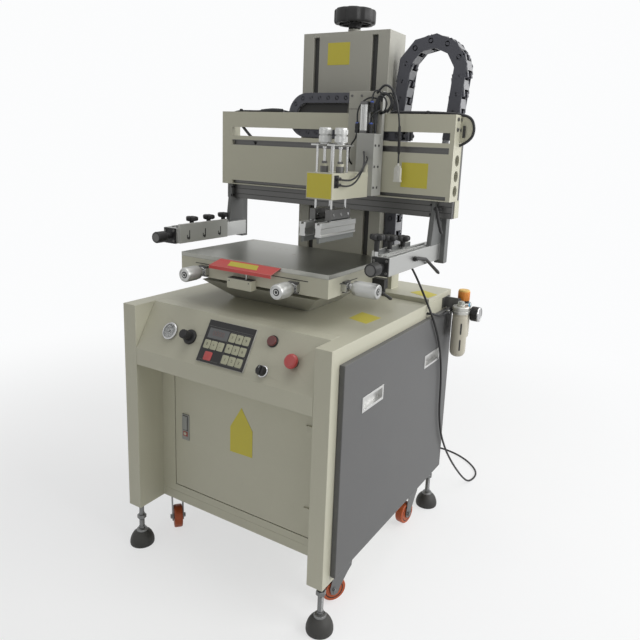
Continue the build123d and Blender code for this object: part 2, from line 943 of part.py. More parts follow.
# Cables that lie along the beam's top edge
cable_y = beam_y + beam_sheet / 2
cable_z = beam_top + hose_radius
ear_y = beam_y + ear_setback + ear_sheet / 2
ear_z = beam_top - ear_drop
rim = ear_radius + hose_radius
right_cable = [
    (mid_x + 215, cable_y, cable_z),
    (mid_x + 300, cable_y, cable_z + 0.5),
    (mid_x + 360, cable_y + 8, cable_z + 0.5),
    (mid_x + beam_left, ear_y, ear_z + rim),
    (mid_x + beam_left + rim * 0.75, ear_y, ear_z + rim * 0.75),
    (mid_x + beam_left + rim, ear_y, ear_z),
    (mid_x + beam_left + rim * 0.75, ear_y, ear_z - rim * 0.75),
    (mid_x + beam_left, ear_y, ear_z - rim * 1.1),
]
left_cable = [
    (mid_x - 372, cable_y, cable_z),
    (mid_x - 280, cable_y, cable_z + 2),
    (mid_x - 190, cable_y, cable_z),
]
with BuildPart() as beam_cables:
    tube(left_cable, hose_radius)
    tube(right_cable, hose_radius)
finish(beam_cables, "beam_cables")


# Frame arms: gusset on the holder, post behind the rail, and the clamp plate inside
def frame_arm(side, holder_x, gusset_x, post_x):
    """The painted metal of one arm, in the open part."""
    rail_back = rail_y + rail_depth + arm_gap
    post_back = rail_back + post_depth
    holder_y = front_y + holder_front
    holder_top = holder_bottom + holder_height
    under_rail = beam_bottom - rail_height - arm_gap
    gusset_y = front_y + gusset_front
    gusset_top = beam_bottom - arm_gap
    with BuildSketch(
        Plane(origin=(gusset_x - gusset_sheet / 2, 0, 0), x_dir=(0, 1, 0), z_dir=(1, 0, 0))
    ) as outline:
        with BuildLine():
            Polyline(
                (gusset_y, holder_top),
                (gusset_y + gusset_taper, gusset_top),
                (rail_y - arm_gap, gusset_top),
                (rail_y - arm_gap, under_rail),
                (rail_back, under_rail),
                (rail_back, holder_top),
                close=True,
            )
        make_face()
    extrude(outline.sketch, amount=gusset_sheet)
    half = post_width / 2
    block(post_x - half, post_x + half, rail_back, post_back, post_bottom, beam_bottom - arm_gap)
    half = holder_width / 2
    block(holder_x - half, holder_x + half, holder_y, rail_back, holder_bottom, holder_top)
    plate_x = holder_x - side * half
    plate_y = holder_y + clamp_plate_inset
    block(
        plate_x - side * clamp_plate_sheet,
        plate_x,
        plate_y,
        plate_y + clamp_plate_length,
        holder_bottom,
        holder_top + clamp_plate_rise,
    )


def end_fitting(holder_x):
    """The black plate on a holder's front end and the knob before it, in the open part."""
    y_end = front_y + holder_front
    mid_z = holder_bottom + holder_height / 2
    half = holder_width / 2
    block(holder_x - half, holder_x + half, y_end - end_plate_sheet, y_end, holder_bottom, mid_z + half)
    rod((holder_x + end_knob_shift, y_end, mid_z), (0, -1, 0), end_neck_radius, end_neck_length)
    knob_start = (holder_x + end_knob_shift, y_end - end_neck_length, mid_z)
    rod(knob_start, (0, -1, 0), end_knob_radius, end_knob_length)


for hand, side in (("left", -1), ("right", 1)):
    holder_x, gusset_x, post_x = (mid_x + value for value in arm_places[hand])
    with BuildPart() as arm:
        frame_arm(side, holder_x, gusset_x, post_x)
    finish(arm, f"frame_arm_{hand}")
    with BuildPart() as knobs:
        end_fitting(holder_x)
        row_x, stars = star_rows[hand]
        for star_y, rise in stars:
            star_centre = (mid_x + row_x, front_y + star_y)
            star_z = holder_bottom + holder_height
            rod((*star_centre, star_z), (0, 0, 1), star_stem_radius, rise)
            with BuildSketch(Plane.XY.offset(star_z + rise)):
                with Locations(star_centre):
                    Circle(star_radius - star_arm_radius)
                    with PolarLocations(star_radius - star_arm_radius, 5):
                        Circle(star_arm_radius)
            extrude(amount=star_height)
    finish(knobs, f"arm_knobs_{hand}")

# Carriage: back plate, casting, and the slider that runs on the guide bar
carriage_x0 = mid_x + carriage_left
carriage_x1 = mid_x + carriage_right
carriage_back = beam_y - carriage_back_gap
carriage_front = carriage_back - carriage_sheet
casting_front = carriage_front - casting_depth
carriage_mid = (carriage_x0 + carriage_x1) / 2
with BuildPart() as carriage:
    block(carriage_x0, carriage_x1, carriage_front, carriage_back, carriage_bottom, carriage_top)
    block(
        carriage_x1 - casting_width, carriage_x1, casting_front, carriage_front, carriage_bottom, casting_top
    )
    block(
        carriage_mid - slider_width / 2,
        carriage_mid + slider_width / 2,
        carriage_back,
        guide_y,
        groove_bottom + tongue_slack,
        groove_top - tongue_slack,
    )
    block(
        carriage_mid - slider_width / 2,
        carriage_mid + slider_width / 2,
        carriage_back,
        beam_y + beam_sheet,
        low_groove_bottom + tongue_slack,
        low_groove_top - tongue_slack,
    )
    block(
        carriage_mid - slider_width / 2,
        carriage_mid + slider_width / 2,
        guide_y - slider_depth / 2,
        guide_y + slider_depth / 2,
        guide_z - slider_height / 2,
        guide_z + slider_height / 2,
    )
    rod(
        (carriage_mid - slider_width / 2, guide_y, guide_z),
        (1, 0, 0),
        guide_radius + running_gap,
        slider_width,
        Mode.SUBTRACT,
    )
finish(carriage, "carriage")

# Air cylinder that stands on the casting, with its two fittings
cylinder_x = carriage_x1 - casting_width / 2 - 14
cylinder_y = (casting_front + carriage_front) / 2
with BuildPart() as air_cylinder:
    with Locations((cylinder_x, cylinder_y, casting_top + cylinder_height / 2)):
        Box(cylinder_width, cylinder_depth, cylinder_height)
    for offset in (-cylinder_width / 2 - fitting_radius, cylinder_width / 2 + fitting_radius):
        rod((cylinder_x + offset, cylinder_y, casting_top), (0, 0, 1), fitting_radius, fitting_height)
finish(air_cylinder, "air_cylinder")

# Bracket that carries the squeegee units, with their piston housings
unit_places = {"left": mid_x + unit_first, "right": mid_x + unit_first + unit_pitch}
unit_mid_y = front_y + unit_y
rod_offsets = (-rod_spacing / 2, rod_spacing / 2)
bracket_top = bracket_bottom + bracket_height
bracket_x0 = mid_x + bracket_left
with BuildPart() as squeegee_bracket:
    block(
        bracket_x0,
        bracket_x0 + bracket_width,
        front_y + bracket_front,
        casting_front,
        bracket_bottom,
        bracket_top,
    )
    for x in unit_places.values():
        rod((x, unit_mid_y, bracket_top), (0, 0, 1), piston_housing_radius, piston_housing_height)
        rod(
            (x, unit_mid_y, bracket_top + piston_housing_height),
            (0, 0, -1),
            piston_radius + running_gap,
            piston_bore_depth,
            Mode.SUBTRACT,
        )
        for offset in rod_offsets:
            rod(
                (x, unit_mid_y + offset, bracket_bottom),
                (0, 0, 1),
                rod_radius + running_gap,
                bracket_height,
                Mode.SUBTRACT,
            )
finish(squeegee_bracket, "squeegee_bracket")

bar_bottom = rod_bottom - foot_block_height - bar_height
for hand, x in unit_places.items():
    with BuildPart() as squeegee_unit:
        for offset in rod_offsets:
            rod((x, unit_mid_y + offset, rod_bottom), (0, 0, 1), rod_radius, bridge_bottom - rod_bottom)
        half = bridge_length / 2
        block(
            x - bridge_width / 2,
            x + bridge_width / 2,
            unit_mid_y - half,
            unit_mid_y + half,
            bridge_bottom,
            bridge_bottom + bridge_height,
        )
        rod((x, unit_mid_y, bridge_bottom), (0, 0, -1), piston_radius, piston_length)
        rod((x, unit_mid_y, bridge_bottom + bridge_height), (0, 0, 1), unit_knob_radius, unit_knob_height)
        half = foot_block_length / 2
        block(
            x - foot_block_width / 2,
            x + foot_block_width / 2,
            unit_mid_y - half,
            unit_mid_y + half,
            rod_bottom - foot_block_height,
            rod_bottom,
        )
        bar_y = front_y + bar_front
        block(
            x - bar_width / 2,
            x + bar_width / 2,
            bar_y,
            bar_y + bar_length,
            bar_bottom,
            bar_bottom + bar_height,
        )
        block(
            x - blade_width / 2,
            x + blade_width / 2,
            bar_y,
            bar_y + bar_length,
            bar_bottom - blade_height,
            bar_bottom,
        )
    finish(squeegee_unit, f"squeegee_unit_{hand}")

# Hoses on the carriage: the bundle's bow above it and two curved hoses to the valve
bow_x = carriage_x1 - 14
bow_y = carriage_front - 12
bow = [
    (bow_x, bow_y, casting_top),
    (bow_x, bow_y - 2, casting_top + 30),
    (bow_x - 2, bow_y, casting_top + 62),
    (bow_x + 4, bow_y - 3, casting_top + 94),
    (bow_x + 22, bow_y - 4, casting_top + 116),
    (bow_x + 45, bow_y - 3, casting_top + 104),
    (bow_x + 50, bow_y, casting_top + 80),
    (bow_x + 32, bow_y + 3, casting_top + 62),
    (bow_x + 7, bow_y + 12, casting_top + 58),
]
valve_x = mid_x + 190
upper_hose = [
    (valve_x, front_y + 262, bracket_top - 14),
    (valve_x + 12, front_y + 292, bracket_top - 20),
    (valve_x + 17, front_y + 325, bracket_top - 14),
    (valve_x + 15, front_y + 358, bracket_top + 4),
    (valve_x + 13, front_y + 390, bracket_top + 28),
    (valve_x + 6, front_y + 415, bracket_top + 40),
    (valve_x - 12, casting_front, bracket_top + 44),
]
with BuildPart() as carriage_hoses:
    tube(bow, hose_radius)
    tube(upper_hose, thin_hose_radius)
finish(carriage_hoses, "carriage_hoses")

# Signal cord that hangs before the beam, and its white connector
cord_x = mid_x + 262
cord_y = front_y + 478
hang_top = casting_top + 130
connector_top = beam_bottom + 96
hanging_route = [
    (bow_x + 24, bow_y - 4, casting_top + 106),
    (bow_x + 46, bow_y - 4, casting_top + 118),
    (bow_x + 60, bow_y - 5, casting_top + 96),
    (bow_x + 68, cord_y, casting_top + 60),
    (bow_x + 73, cord_y - 1, casting_top + 20),
    (cord_x - 1, cord_y + 1, casting_top - 30),
    (cord_x, cord_y, connector_top),
]
with BuildPart() as hanging_cord:
    tube(hanging_route, signal_cord_radius)
finish(hanging_cord, "hanging_cord")

with BuildPart() as cord_connector:
    with Locations((cord_x, cord_y, connector_top - connector_height / 2)):
        Box(connector_width, connector_depth, connector_height)
finish(cord_connector, "cord_connector")

# Console fittings: gauge, push button, keypad and the rings round stop button and selector
with BuildPart() as console_fittings:
    disc_on_slope(gauge_place, gauge_radius, gauge_height)
    disc_on_slope(push_button_place, push_button_radius, push_button_height)
    disc_on_slope(stop_place, control_stem_radius + ring_wall, ring_height)
    disc_on_slope(selector_place, control_stem_radius + ring_wall + 3, ring_height)
    for place in (stop_place, selector_place):
        disc_on_slope(place, control_stem_radius + running_gap, ring_height, mode=Mode.SUBTRACT)
    with Locations(slope_plane(keypad_place)):
        Box(keypad_width, keypad_height, keypad_sheet, align=(Align.CENTER, Align.CENTER, Align.MIN))
finish(console_fittings, "console_fittings")

with BuildPart() as pressure_knob:
    disc_on_slope(pressure_knob_place, control_stem_radius, control_stem_length, -control_stem_length)
    disc_on_slope(pressure_knob_place, pressure_flange_radius, pressure_flange_height)
    disc_on_slope(pressure_knob_place, pressure_knob_radius, pressure_knob_height, pressure_flange_height)
finish(pressure_knob, "pressure_knob")

with BuildPart() as selector_knob:
    disc_on_slope(selector_place, control_stem_radius, control_stem_length + ring_height, -control_stem_length)
    disc_on_slope(selector_place, selector_radius, selector_height, ring_height)
finish(selector_knob, "selector_knob")

stop_head_out = ring_height + stop_travel + 1
with BuildPart() as stop_button:
    disc_on_slope(
        stop_place, control_stem_radius, control_stem_length + stop_head_out, -control_stem_length
    )
    disc_on_slope(stop_place, stop_radius, stop_head_height, stop_head_out)
finish(stop_button, "stop_button")

# Air service unit: bracket, lubricator and filter regulator side by side
head_top = head_bottom + head_height
wall_x = mid_x + cabinet_width / 2
lubricator_axis = (mid_x + lubricator_place[0], front_y + lubricator_place[1])
filter_axis = (mid_x + filter_place[0], front_y + filter_place[1])
with BuildPart() as service_bracket:
    plate_y = front_y + arm_plate_y
    plate_z = top_z - arm_plate_height - 3
    block(
        wall_x,
        wall_x + arm_foot_sheet,
        plate_y - arm_foot_width / 2,
        plate_y + arm_foot_width / 2,
        plate_z,
        plate_z + arm_plate_height,
    )
    block(
        wall_x,
        lubricator_axis[0],
        plate_y,
        plate_y + arm_plate_sheet,
        plate_z,
        plate_z + arm_plate_height,
    )
    for x, y in (lubricator_axis, filter_axis):
        rod((x, y, plate_z), (0, 0, 1), head_radius, arm_plate_height, Mode.SUBTRACT)
    bar_between(
        (*lubricator_axis, unit_link_z), (*filter_axis, unit_link_z), unit_link_radius, Mode.SUBTRACT
    )
finish(service_bracket, "service_bracket")

with BuildPart() as air_service_unit:
    for (x, y), bowl in ((lubricator_axis, lubricator_bowl), (filter_axis, filter_bowl)):
        rod((x, y, head_bottom), (0, 0, 1), head_radius, head_height)
        rod((x, y, head_bottom), (0, 0, -1), bowl_radius, bowl)
    bar_between((*lubricator_axis, unit_link_z), (*filter_axis, unit_link_z), unit_link_radius)
    rod((*lubricator_axis, head_top), (0, 0, 1), dome_radius, dome_height)
    rod((*filter_axis, head_top), (0, 0, 1), air_knob_radius, air_knob_height)
    dial_y = filter_axis[1] - 8
    dial_x = mid_x + dial_front - dial_depth
    rod((filter_axis[0], dial_y, dial_z), (1, 0, 0), gauge_stub_radius, dial_x - filter_axis[0])
    rod((dial_x, dial_y, dial_z), (1, 0, 0), dial_radius, dial_depth)
    low_rims = air_service_unit.edges().filter_by(GeomType.CIRCLE).group_by(Axis.Z)
    fillet(low_rims[0], bowl_round)
finish(air_service_unit, "air_service_unit")

air_route = [
    (wall_x, back_y - 200, top_z - 28),
    (wall_x + 16, back_y - 193, top_z - 29),
    (wall_x + 27, back_y - 169, top_z - 36),
    (wall_x + 28, back_y - 135, top_z - 44),
    (wall_x + 29, back_y - 103, top_z - 40),
    (lubricator_axis[0] - head_radius, lubricator_axis[1] - 4, head_bottom + 10),
]
with BuildPart() as air_hose:
    tube(air_route, hose_radius)
finish(air_hose, "air_hose")

# Mains lead: gland on the chain's post, over the cabinet's edge, down and along the floor
gland_x = mid_x + chain_left + chain_thickness
gland_y = front_y + 652
gland_z = 908.0
with BuildPart() as cord_gland:
    rod((gland_x, gland_y, gland_z), (1, 0, 0), gland_radius, gland_length)
finish(cord_gland, "cord_gland")

rest_z = mains_radius
coil_x = mid_x + 64 - coil_radius
coil_y = back_y + 265
coil_outer = coil_radius + coil_turn_band / 2
coil_inner = coil_radius - coil_turn_band / 2
plug_start = coil_x - coil_outer
tail_y = coil_y - coil_radius - mains_radius + 0.5
tail_z = plug_height / 2
tail_start = coil_x - coil_turn_band
mains_route = [
    (gland_x + gland_length, gland_y, gland_z),
    (mid_x + 248, front_y + 636, 898),
    (wall_x + 23, front_y + 541, top_z - 15),
    (wall_x + 24, front_y + 612, 675),
    (wall_x + 23, front_y + 660, 582),
    (wall_x + 23, front_y + 678, 490),
    (wall_x + 23, front_y + 681, 400),
    (wall_x + 24, back_y - 59, 312),
    (wall_x + 26, back_y, 224),
    (wall_x + 31, back_y + 57, 156),
    (wall_x + 37, back_y + 111, 98),
    (wall_x + 47, back_y + 175, 34),
    (wall_x + 57, back_y + 215, rest_z),
    (wall_x + 67, back_y + 253, rest_z),
    (wall_x + 62, back_y + 297, rest_z),
    (wall_x + 35, back_y + 338, rest_z),
    (mid_x + 340, back_y + 377, rest_z),
    (mid_x + 284, back_y + 404, rest_z),
    (mid_x + 219, back_y + 415, rest_z),
    (mid_x + 150, back_y + 403, rest_z),
    (coil_x + coil_radius + 34, back_y + 365, rest_z),
    (coil_x + coil_radius + 6, back_y + 315, rest_z),
    (coil_x + coil_radius, coil_y + 12, rest_z),
]
with BuildPart() as mains_cord:
    mains_length = tube(mains_route, mains_radius)
    bar_between((tail_start, tail_y, tail_z), (plug_start, tail_y, tail_z), mains_radius)
finish(mains_cord, "mains_cord")

with BuildPart() as mains_coil:
    with BuildSketch(Plane.XY):
        with Locations((coil_x, coil_y)):
            Circle(coil_outer)
            Circle(coil_inner, mode=Mode.SUBTRACT)
    extrude(amount=coil_height)
finish(mains_coil, "mains_coil")

with BuildPart() as mains_plug:
    with Locations((plug_start - plug_length / 2, tail_y, plug_height / 2)):
        Box(plug_length, plug_width, plug_height)
finish(mains_plug, "mains_plug")

print("mains bend radii", [round(value) for value in bend_radii(mains_route)])
print("hanging cord bend radii", [round(value) for value in bend_radii(hanging_route)])
print("mains tube length", round(mains_length))
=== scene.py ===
from math import cos, pi, radians, sin

import bmesh
import bpy
from mathutils import Matrix, Vector


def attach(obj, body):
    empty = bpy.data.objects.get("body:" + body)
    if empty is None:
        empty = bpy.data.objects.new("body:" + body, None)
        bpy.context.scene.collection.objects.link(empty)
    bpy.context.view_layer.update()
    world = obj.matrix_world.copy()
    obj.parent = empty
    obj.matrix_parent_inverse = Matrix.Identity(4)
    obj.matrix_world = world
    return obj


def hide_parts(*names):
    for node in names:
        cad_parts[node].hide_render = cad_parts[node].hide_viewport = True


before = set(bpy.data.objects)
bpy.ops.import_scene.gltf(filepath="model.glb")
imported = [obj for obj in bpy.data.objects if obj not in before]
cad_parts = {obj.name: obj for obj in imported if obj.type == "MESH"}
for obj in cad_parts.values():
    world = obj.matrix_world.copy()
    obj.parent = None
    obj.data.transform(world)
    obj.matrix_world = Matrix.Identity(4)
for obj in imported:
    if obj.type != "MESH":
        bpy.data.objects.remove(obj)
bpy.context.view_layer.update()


# The viewpoint of the photograph: a hand-held camera before the machine's right front corner,
# a little above the table and turned down. Places on the machine are in millimetres from its
# centre plane, its front face and the floor, and at() turns them into the frame's metres.
millimetre = 0.001
middle_x, middle_y = 30.0, 388.0
upward, forward, rightward = (0, 0, 1), (0, -1, 0), (1, 0, 0)


def at(x, y, z):
    """A place on the machine, in the frame's metres."""
    return Vector((x - middle_x, y - middle_y, z)) * millimetre


def measured(point):
    """A point of the frame in the machine's millimetres."""
    return point * 1000 + Vector((middle_x, middle_y, 0))


eye = Vector((1.0121, -1.5698, 1.2474))
heading, tilt, roll = radians(-30.42), radians(-12.54), radians(2.47)
look = Vector((sin(heading) * cos(tilt), cos(heading) * cos(tilt), sin(tilt)))
level_right = look.cross(Vector((0, 0, 1))).normalized()
level_up = level_right.cross(look)
view_right = level_right * cos(roll) + level_up * sin(roll)
view_up = level_up * cos(roll) - level_right * sin(roll)
lens = bpy.data.cameras.new("photograph")
lens.sensor_width = 36.0
lens.lens = 35.09
lens.shift_x = -0.0229
lens.shift_y = -0.0569
camera = bpy.data.objects.new("photograph", lens)
camera.matrix_world = Matrix(
    [(view_right[i], view_up[i], -look[i], eye[i]) for i in range(3)] + [(0, 0, 0, 1)]
)
bpy.context.scene.collection.objects.link(camera)
bpy.context.scene.camera = camera
bpy.context.scene.view_settings.view_transform = "Standard"


# The room: a pale floor that keeps the machine's shadow, a white surround that metal and
# glass show as well, and soft lamps from the right, the front, above and behind.
def feed(tree, socket, value):
    """Links a socket to another one, or sets its plain value."""
    if isinstance(value, bpy.types.NodeSocket):
        tree.links.new(value, socket)
    else:
        socket.default_value = value


def put(tree, kind, **settings):
    """A new node. A word with a capital is a socket, any other word a setting of the node."""
    made = tree.nodes.new(kind)
    for word, value in settings.items():
        if not word[0].isupper():
            setattr(made, word, value)
            continue
        feed(tree, made.inputs[word.replace("_", " ")], value)
    return made


def worked(tree, operation, first, second=0.0, third=0.0):
    """The result of a sum on two or three values."""
    made = tree.nodes.new("ShaderNodeMath")
    made.operation = operation
    for socket, value in zip(made.inputs, (first, second, third)):
        feed(tree, socket, value)
    return made.outputs[0]


def blended(tree, share, first, second):
    """A colour between two colours."""
    made = tree.nodes.new("ShaderNodeMix")
    made.data_type = "RGBA"
    for socket, value in ((made.inputs[0], share), (made.inputs[6], first), (made.inputs[7], second)):
        feed(tree, socket, value)
    return made.outputs[2]


def own_place(tree):
    """The place of each point of the surface in its object."""
    return put(tree, "ShaderNodeTexCoord").outputs["Object"]


def new_surface(name, **values):
    """A material, its tree and its shader, with plain values on the shader's sockets."""
    material = bpy.data.materials.new(name)
    material.use_nodes = True
    shader = material.node_tree.nodes["Principled BSDF"]
    for word, value in values.items():
        shader.inputs[word.replace("_", " ")].default_value = value
    return material, material.node_tree, shader


surround = bpy.data.worlds.new("pale_room")
surround.use_nodes = True
bpy.context.scene.world = surround
room = surround.node_tree
room.nodes.clear()
seen = put(room, "ShaderNodeLightPath")
rays = worked(room, "MAXIMUM", seen.outputs["Is Camera Ray"], seen.outputs["Is Glossy Ray"])
rays = worked(room, "MAXIMUM", rays, seen.outputs["Is Transmission Ray"])
dim = put(room, "ShaderNodeBackground", Color=(1.0, 0.985, 0.94, 1), Strength=0.26)
backdrop_white = (0.97, 0.975, 0.98, 1)
white = put(room, "ShaderNodeBackground", Color=backdrop_white, Strength=1.0)
either = put(room, "ShaderNodeMixShader", Fac=rays)
room.links.new(dim.outputs[0], either.inputs[1])
room.links.new(white.outputs[0], either.inputs[2])
put(room, "ShaderNodeOutputWorld", Surface=either.outputs[0])

floor_finish, floor_tree, floor_shader = new_surface("pale_floor", Roughness=0.75)
floor_place = own_place(floor_tree)
floor_noise = put(floor_tree, "ShaderNodeTexNoise", Vector=floor_place, Scale=3.0, Detail=4.0)
floor_colour = blended(floor_tree, floor_noise.outputs["Fac"], (0.90, 0.91, 0.92, 1), (0.95, 0.95, 0.95, 1))
floor_tree.links.new(floor_colour, floor_shader.inputs["Base Color"])
floor_reach = put(floor_tree, "ShaderNodeVectorMath", operation="LENGTH", Vector=floor_place).outputs["Value"]
floor_far = put(
    floor_tree, "ShaderNodeMapRange", interpolation_type="SMOOTHSTEP",
    Value=floor_reach, From_Min=0.9, From_Max=2.6, To_Min=0.62,
)
floor_rays = put(floor_tree, "ShaderNodeLightPath")
floor_seen = worked(floor_tree, "MAXIMUM", floor_rays.outputs["Is Camera Ray"], floor_rays.outputs["Is Glossy Ray"])
floor_seen = worked(floor_tree, "MULTIPLY", floor_seen, floor_far.outputs["Result"])
floor_glow = put(floor_tree, "ShaderNodeEmission", Color=backdrop_white, Strength=1.0)
floor_mix = put(floor_tree, "ShaderNodeMixShader", Fac=floor_seen)
floor_tree.links.new(floor_shader.outputs[0], floor_mix.inputs[1])
floor_tree.links.new(floor_glow.outputs[0], floor_mix.inputs[2])
floor_end = next(node for node in floor_tree.nodes if node.type == "OUTPUT_MATERIAL")
floor_tree.links.new(floor_mix.outputs[0], floor_end.inputs["Surface"])
floor_mesh = bpy.data.meshes.new("room_floor")
floor_side = 9.0
floor_mesh.from_pydata(
    [(-floor_side, -floor_side, 0), (floor_side, -floor_side, 0), (floor_side, floor_side, 0),
        (-floor_side, floor_side, 0)],
    [],
    [(0, 1, 2, 3)],
)
floor_mesh.materials.append(floor_finish)
room_floor = bpy.data.objects.new("room_floor", floor_mesh)
bpy.context.scene.collection.objects.link(room_floor)

lamp_places = {
    "lamp_right": ((3.6, 0.0, 2.4), 2.0, 66.0),
    "lamp_front": ((-0.6, -3.6, 2.4), 2.4, 9.0),
    "lamp_above": ((0.3, 0.1, 3.6), 2.2, 30.0),
    "lamp_behind": ((2.6, 2.6, 2.6), 2.0, 52.0),
}
lamp_aim = Vector((0.0, 0.0, 0.75))
for lamp_name, (place, side, power) in lamp_places.items():
    lamp = bpy.data.lights.new(lamp_name, "AREA")
    lamp.size = side
    lamp.energy = power
    holder = bpy.data.objects.new(lamp_name, lamp)
    aim = lamp_aim - Vector(place)
    holder.matrix_world = Matrix.Translation(place) @ aim.to_track_quat("-Z", "Y").to_matrix().to_4x4()
    bpy.context.scene.collection.objects.link(holder)


# The mains lead: a black round three-core lead of 7 mm. It leaves a gland on the chain's post,
# hangs over the cabinet's right edge down to the floor, and its spare length lies behind the
# machine in a tied coil with the plug beside it.
def new_group(name, takes, gives):
    """A shader group with named inputs and outputs."""
    group = bpy.data.node_groups.new(name, "ShaderNodeTree")
    kinds = {"colour": "NodeSocketColor", "number": "NodeSocketFloat", "vector": "NodeSocketVector"}
    for words, side in ((takes, "INPUT"), (gives, "OUTPUT")):
        for word, kind in words.items():
            group.interface.new_socket(name=word, in_out=side, socket_type=kinds[kind])
    return group, group.nodes.new("NodeGroupInput"), group.nodes.new("NodeGroupOutput")


# Shop film: the thin dust and handling marks of a workshop, thicker on what faces up.
shop_film, film_in, film_out = new_group(
    "shop_film",
    {"Colour": "colour", "Dust": "colour", "Amount": "number", "Gloss": "number", "Grain": "number"},
    {"Colour": "colour", "Roughness": "number", "Height": "number"},
)
film_place = own_place(shop_film)
film_clouds = put(shop_film, "ShaderNodeTexNoise", Vector=film_place, Scale=7.0, Detail=5.0, Roughness=0.6)
film_specks = put(shop_film, "ShaderNodeTexNoise", Vector=film_place, Scale=160.0, Detail=2.0)
film_grain = put(shop_film, "ShaderNodeTexNoise", Vector=film_place, Detail=2.0)
shop_film.links.new(film_in.outputs["Grain"], film_grain.inputs["Scale"])
film_up = put(shop_film, "ShaderNodeSeparateXYZ", Vector=put(shop_film, "ShaderNodeNewGeometry").outputs["Normal"])
film_up = worked(shop_film, "MULTIPLY_ADD", worked(shop_film, "MAXIMUM", film_up.outputs["Z"], 0.0), 0.6, 0.4)
film_patch = worked(shop_film, "MULTIPLY", film_clouds.outputs["Fac"], film_up)
film_patch = worked(shop_film, "MULTIPLY_ADD", film_specks.outputs["Fac"], 0.25, film_patch)
film_share = worked(shop_film, "MULTIPLY", film_patch, film_in.outputs["Amount"])
shop_film.links.new(
    blended(shop_film, film_share, film_in.outputs["Colour"], film_in.outputs["Dust"]), film_out.inputs["Colour"]
)
shop_film.links.new(
    worked(shop_film, "MULTIPLY_ADD", film_patch, 0.18, film_in.outputs["Gloss"]), film_out.inputs["Roughness"]
)
shop_film.links.new(film_grain.outputs["Fac"], film_out.inputs["Height"])


def coated(name, colour, gloss=0.45, film=0.3, dust=(0.30, 0.29, 0.26, 1), grain=900.0, relief=0.08, **values):
    """A coloured surface under shop film, with a fine grain in its relief."""
    material, tree, shader = new_surface(name, **values)
    skin = put(
        tree, "ShaderNodeGroup", node_tree=shop_film, Colour=(*colour, 1), Dust=dust, Amount=film, Gloss=gloss,
        Grain=grain
    )
    tree.links.new(skin.outputs["Colour"], shader.inputs["Base Color"])
    tree.links.new(skin.outputs["Roughness"], shader.inputs["Roughness"])
    bump = put(tree, "ShaderNodeBump", Strength=relief, Distance=0.0006, Height=skin.outputs["Height"])
    tree.links.new(bump.outputs["Normal"], shader.inputs["Normal"])
    return material


def bent_line(name, points, radius, material, body, *nodes):
    """A round cord or hose that runs smoothly past its points."""
    line = bpy.data.curves.new(name, "CURVE")
    line.dimensions = "3D"
    line.bevel_depth = radius * millimetre
    line.bevel_resolution = 4
    line.resolution_u = 6
    line.use_fill_caps = True
    spline = line.splines.new("NURBS")
    spline.points.add(len(points) - 1)
    for point, place in zip(spline.points, points):
        point.co = (*at(*place), 1.0)
    spline.order_u = 3
    spline.use_endpoint_u = True
    line.materials.append(material)
    piece = bpy.data.objects.new(name, line)
    bpy.context.scene.collection.objects.link(piece)
    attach(piece, body)
    if nodes:
        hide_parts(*nodes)
    return piece


def add_rings(bm, rings, finish=0):
    """A closed skin over rings of points, with one point where it ends in a tip."""
    loops = [[bm.verts.new(point) for point in ring] for ring in rings]
    count = max(len(loop) for loop in loops)
    faces = []
    for low, high in zip(loops, loops[1:]):
        for i in range(count):
            j = (i + 1) % count
            corners = [low[i % len(low)], low[j % len(low)], high[j % len(high)], high[i % len(high)]]
            corners = [vertex for k, vertex in enumerate(corners) if vertex not in corners[:k]]
            if len(corners) > 2:
                faces.append(bm.faces.new(corners))
    for loop in (loops[0], loops[-1]):
        if len(loop) > 2:
            faces.append(bm.faces.new(loop))
    for face in faces:
        face.material_index = finish


def add_turned(bm, base, axis, profile, place=at, finish=0, sides=28, lobes=None):
    """A turned piece: radius and height pairs along an axis from a base point."""
    axis = Vector(axis).normalized()
    across = axis.orthogonal().normalized()
    along = axis.cross(across)
    rings = []
    for radius, height in profile:
        middle = Vector(base) + axis * height
        if radius == 0:
            rings.append([place(*middle)])
            continue
        ring = []
        for i in range(sides):
            turn = 2 * pi * i / sides
            reach = radius * (lobes(turn) if lobes else 1.0)
            ring.append(place(*(middle + (across * cos(turn) + along * sin(turn)) * reach)))
        rings.append(ring)
    add_rings(bm, rings, finish)


def add_block(bm, low, high, place=at, finish=0):
    """A block between two corners."""
    (x0, y0, z0), (x1, y1, z1) = low, high
    rings = [[place(x, y, z) for x, y in ((x0, y0), (x1, y0), (x1, y1), (x0, y1))] for z in (z0, z1)]
    add_rings(bm, rings, finish)


def add_prism(bm, outline, push, place=at, finish=0):
    """A flat outline pushed along a direction."""
    near = [place(*point) for point in outline]
    far = [place(*(Vector(point) + Vector(push))) for point in outline]
    add_rings(bm, [near, far], finish)


def made_piece(bm, name, body, finishes, *nodes, easing=0.0):
    """Turns the built mesh into a piece that rides on its body."""
    bmesh.ops.recalc_face_normals(bm, faces=bm.faces)
    mesh = bpy.data.meshes.new(name)
    bm.to_mesh(mesh)
    bm.free()
    for material in finishes:
        mesh.materials.append(material)
    mesh.shade_smooth()
    mesh.set_sharp_from_angle(angle=radians(35))
    piece = bpy.data.objects.new(name, mesh)
    bpy.context.scene.collection.objects.link(piece)
    if easing:
        bevel = piece.modifiers.new("eased_edges", "BEVEL")
        bevel.width = easing * millimetre
        bevel.segments = 2
        bevel.limit_method = "ANGLE"
        bevel.angle_limit = radians(38)
        bevel.harden_normals = True
    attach(piece, body)
    if nodes:
        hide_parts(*nodes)
    return piece


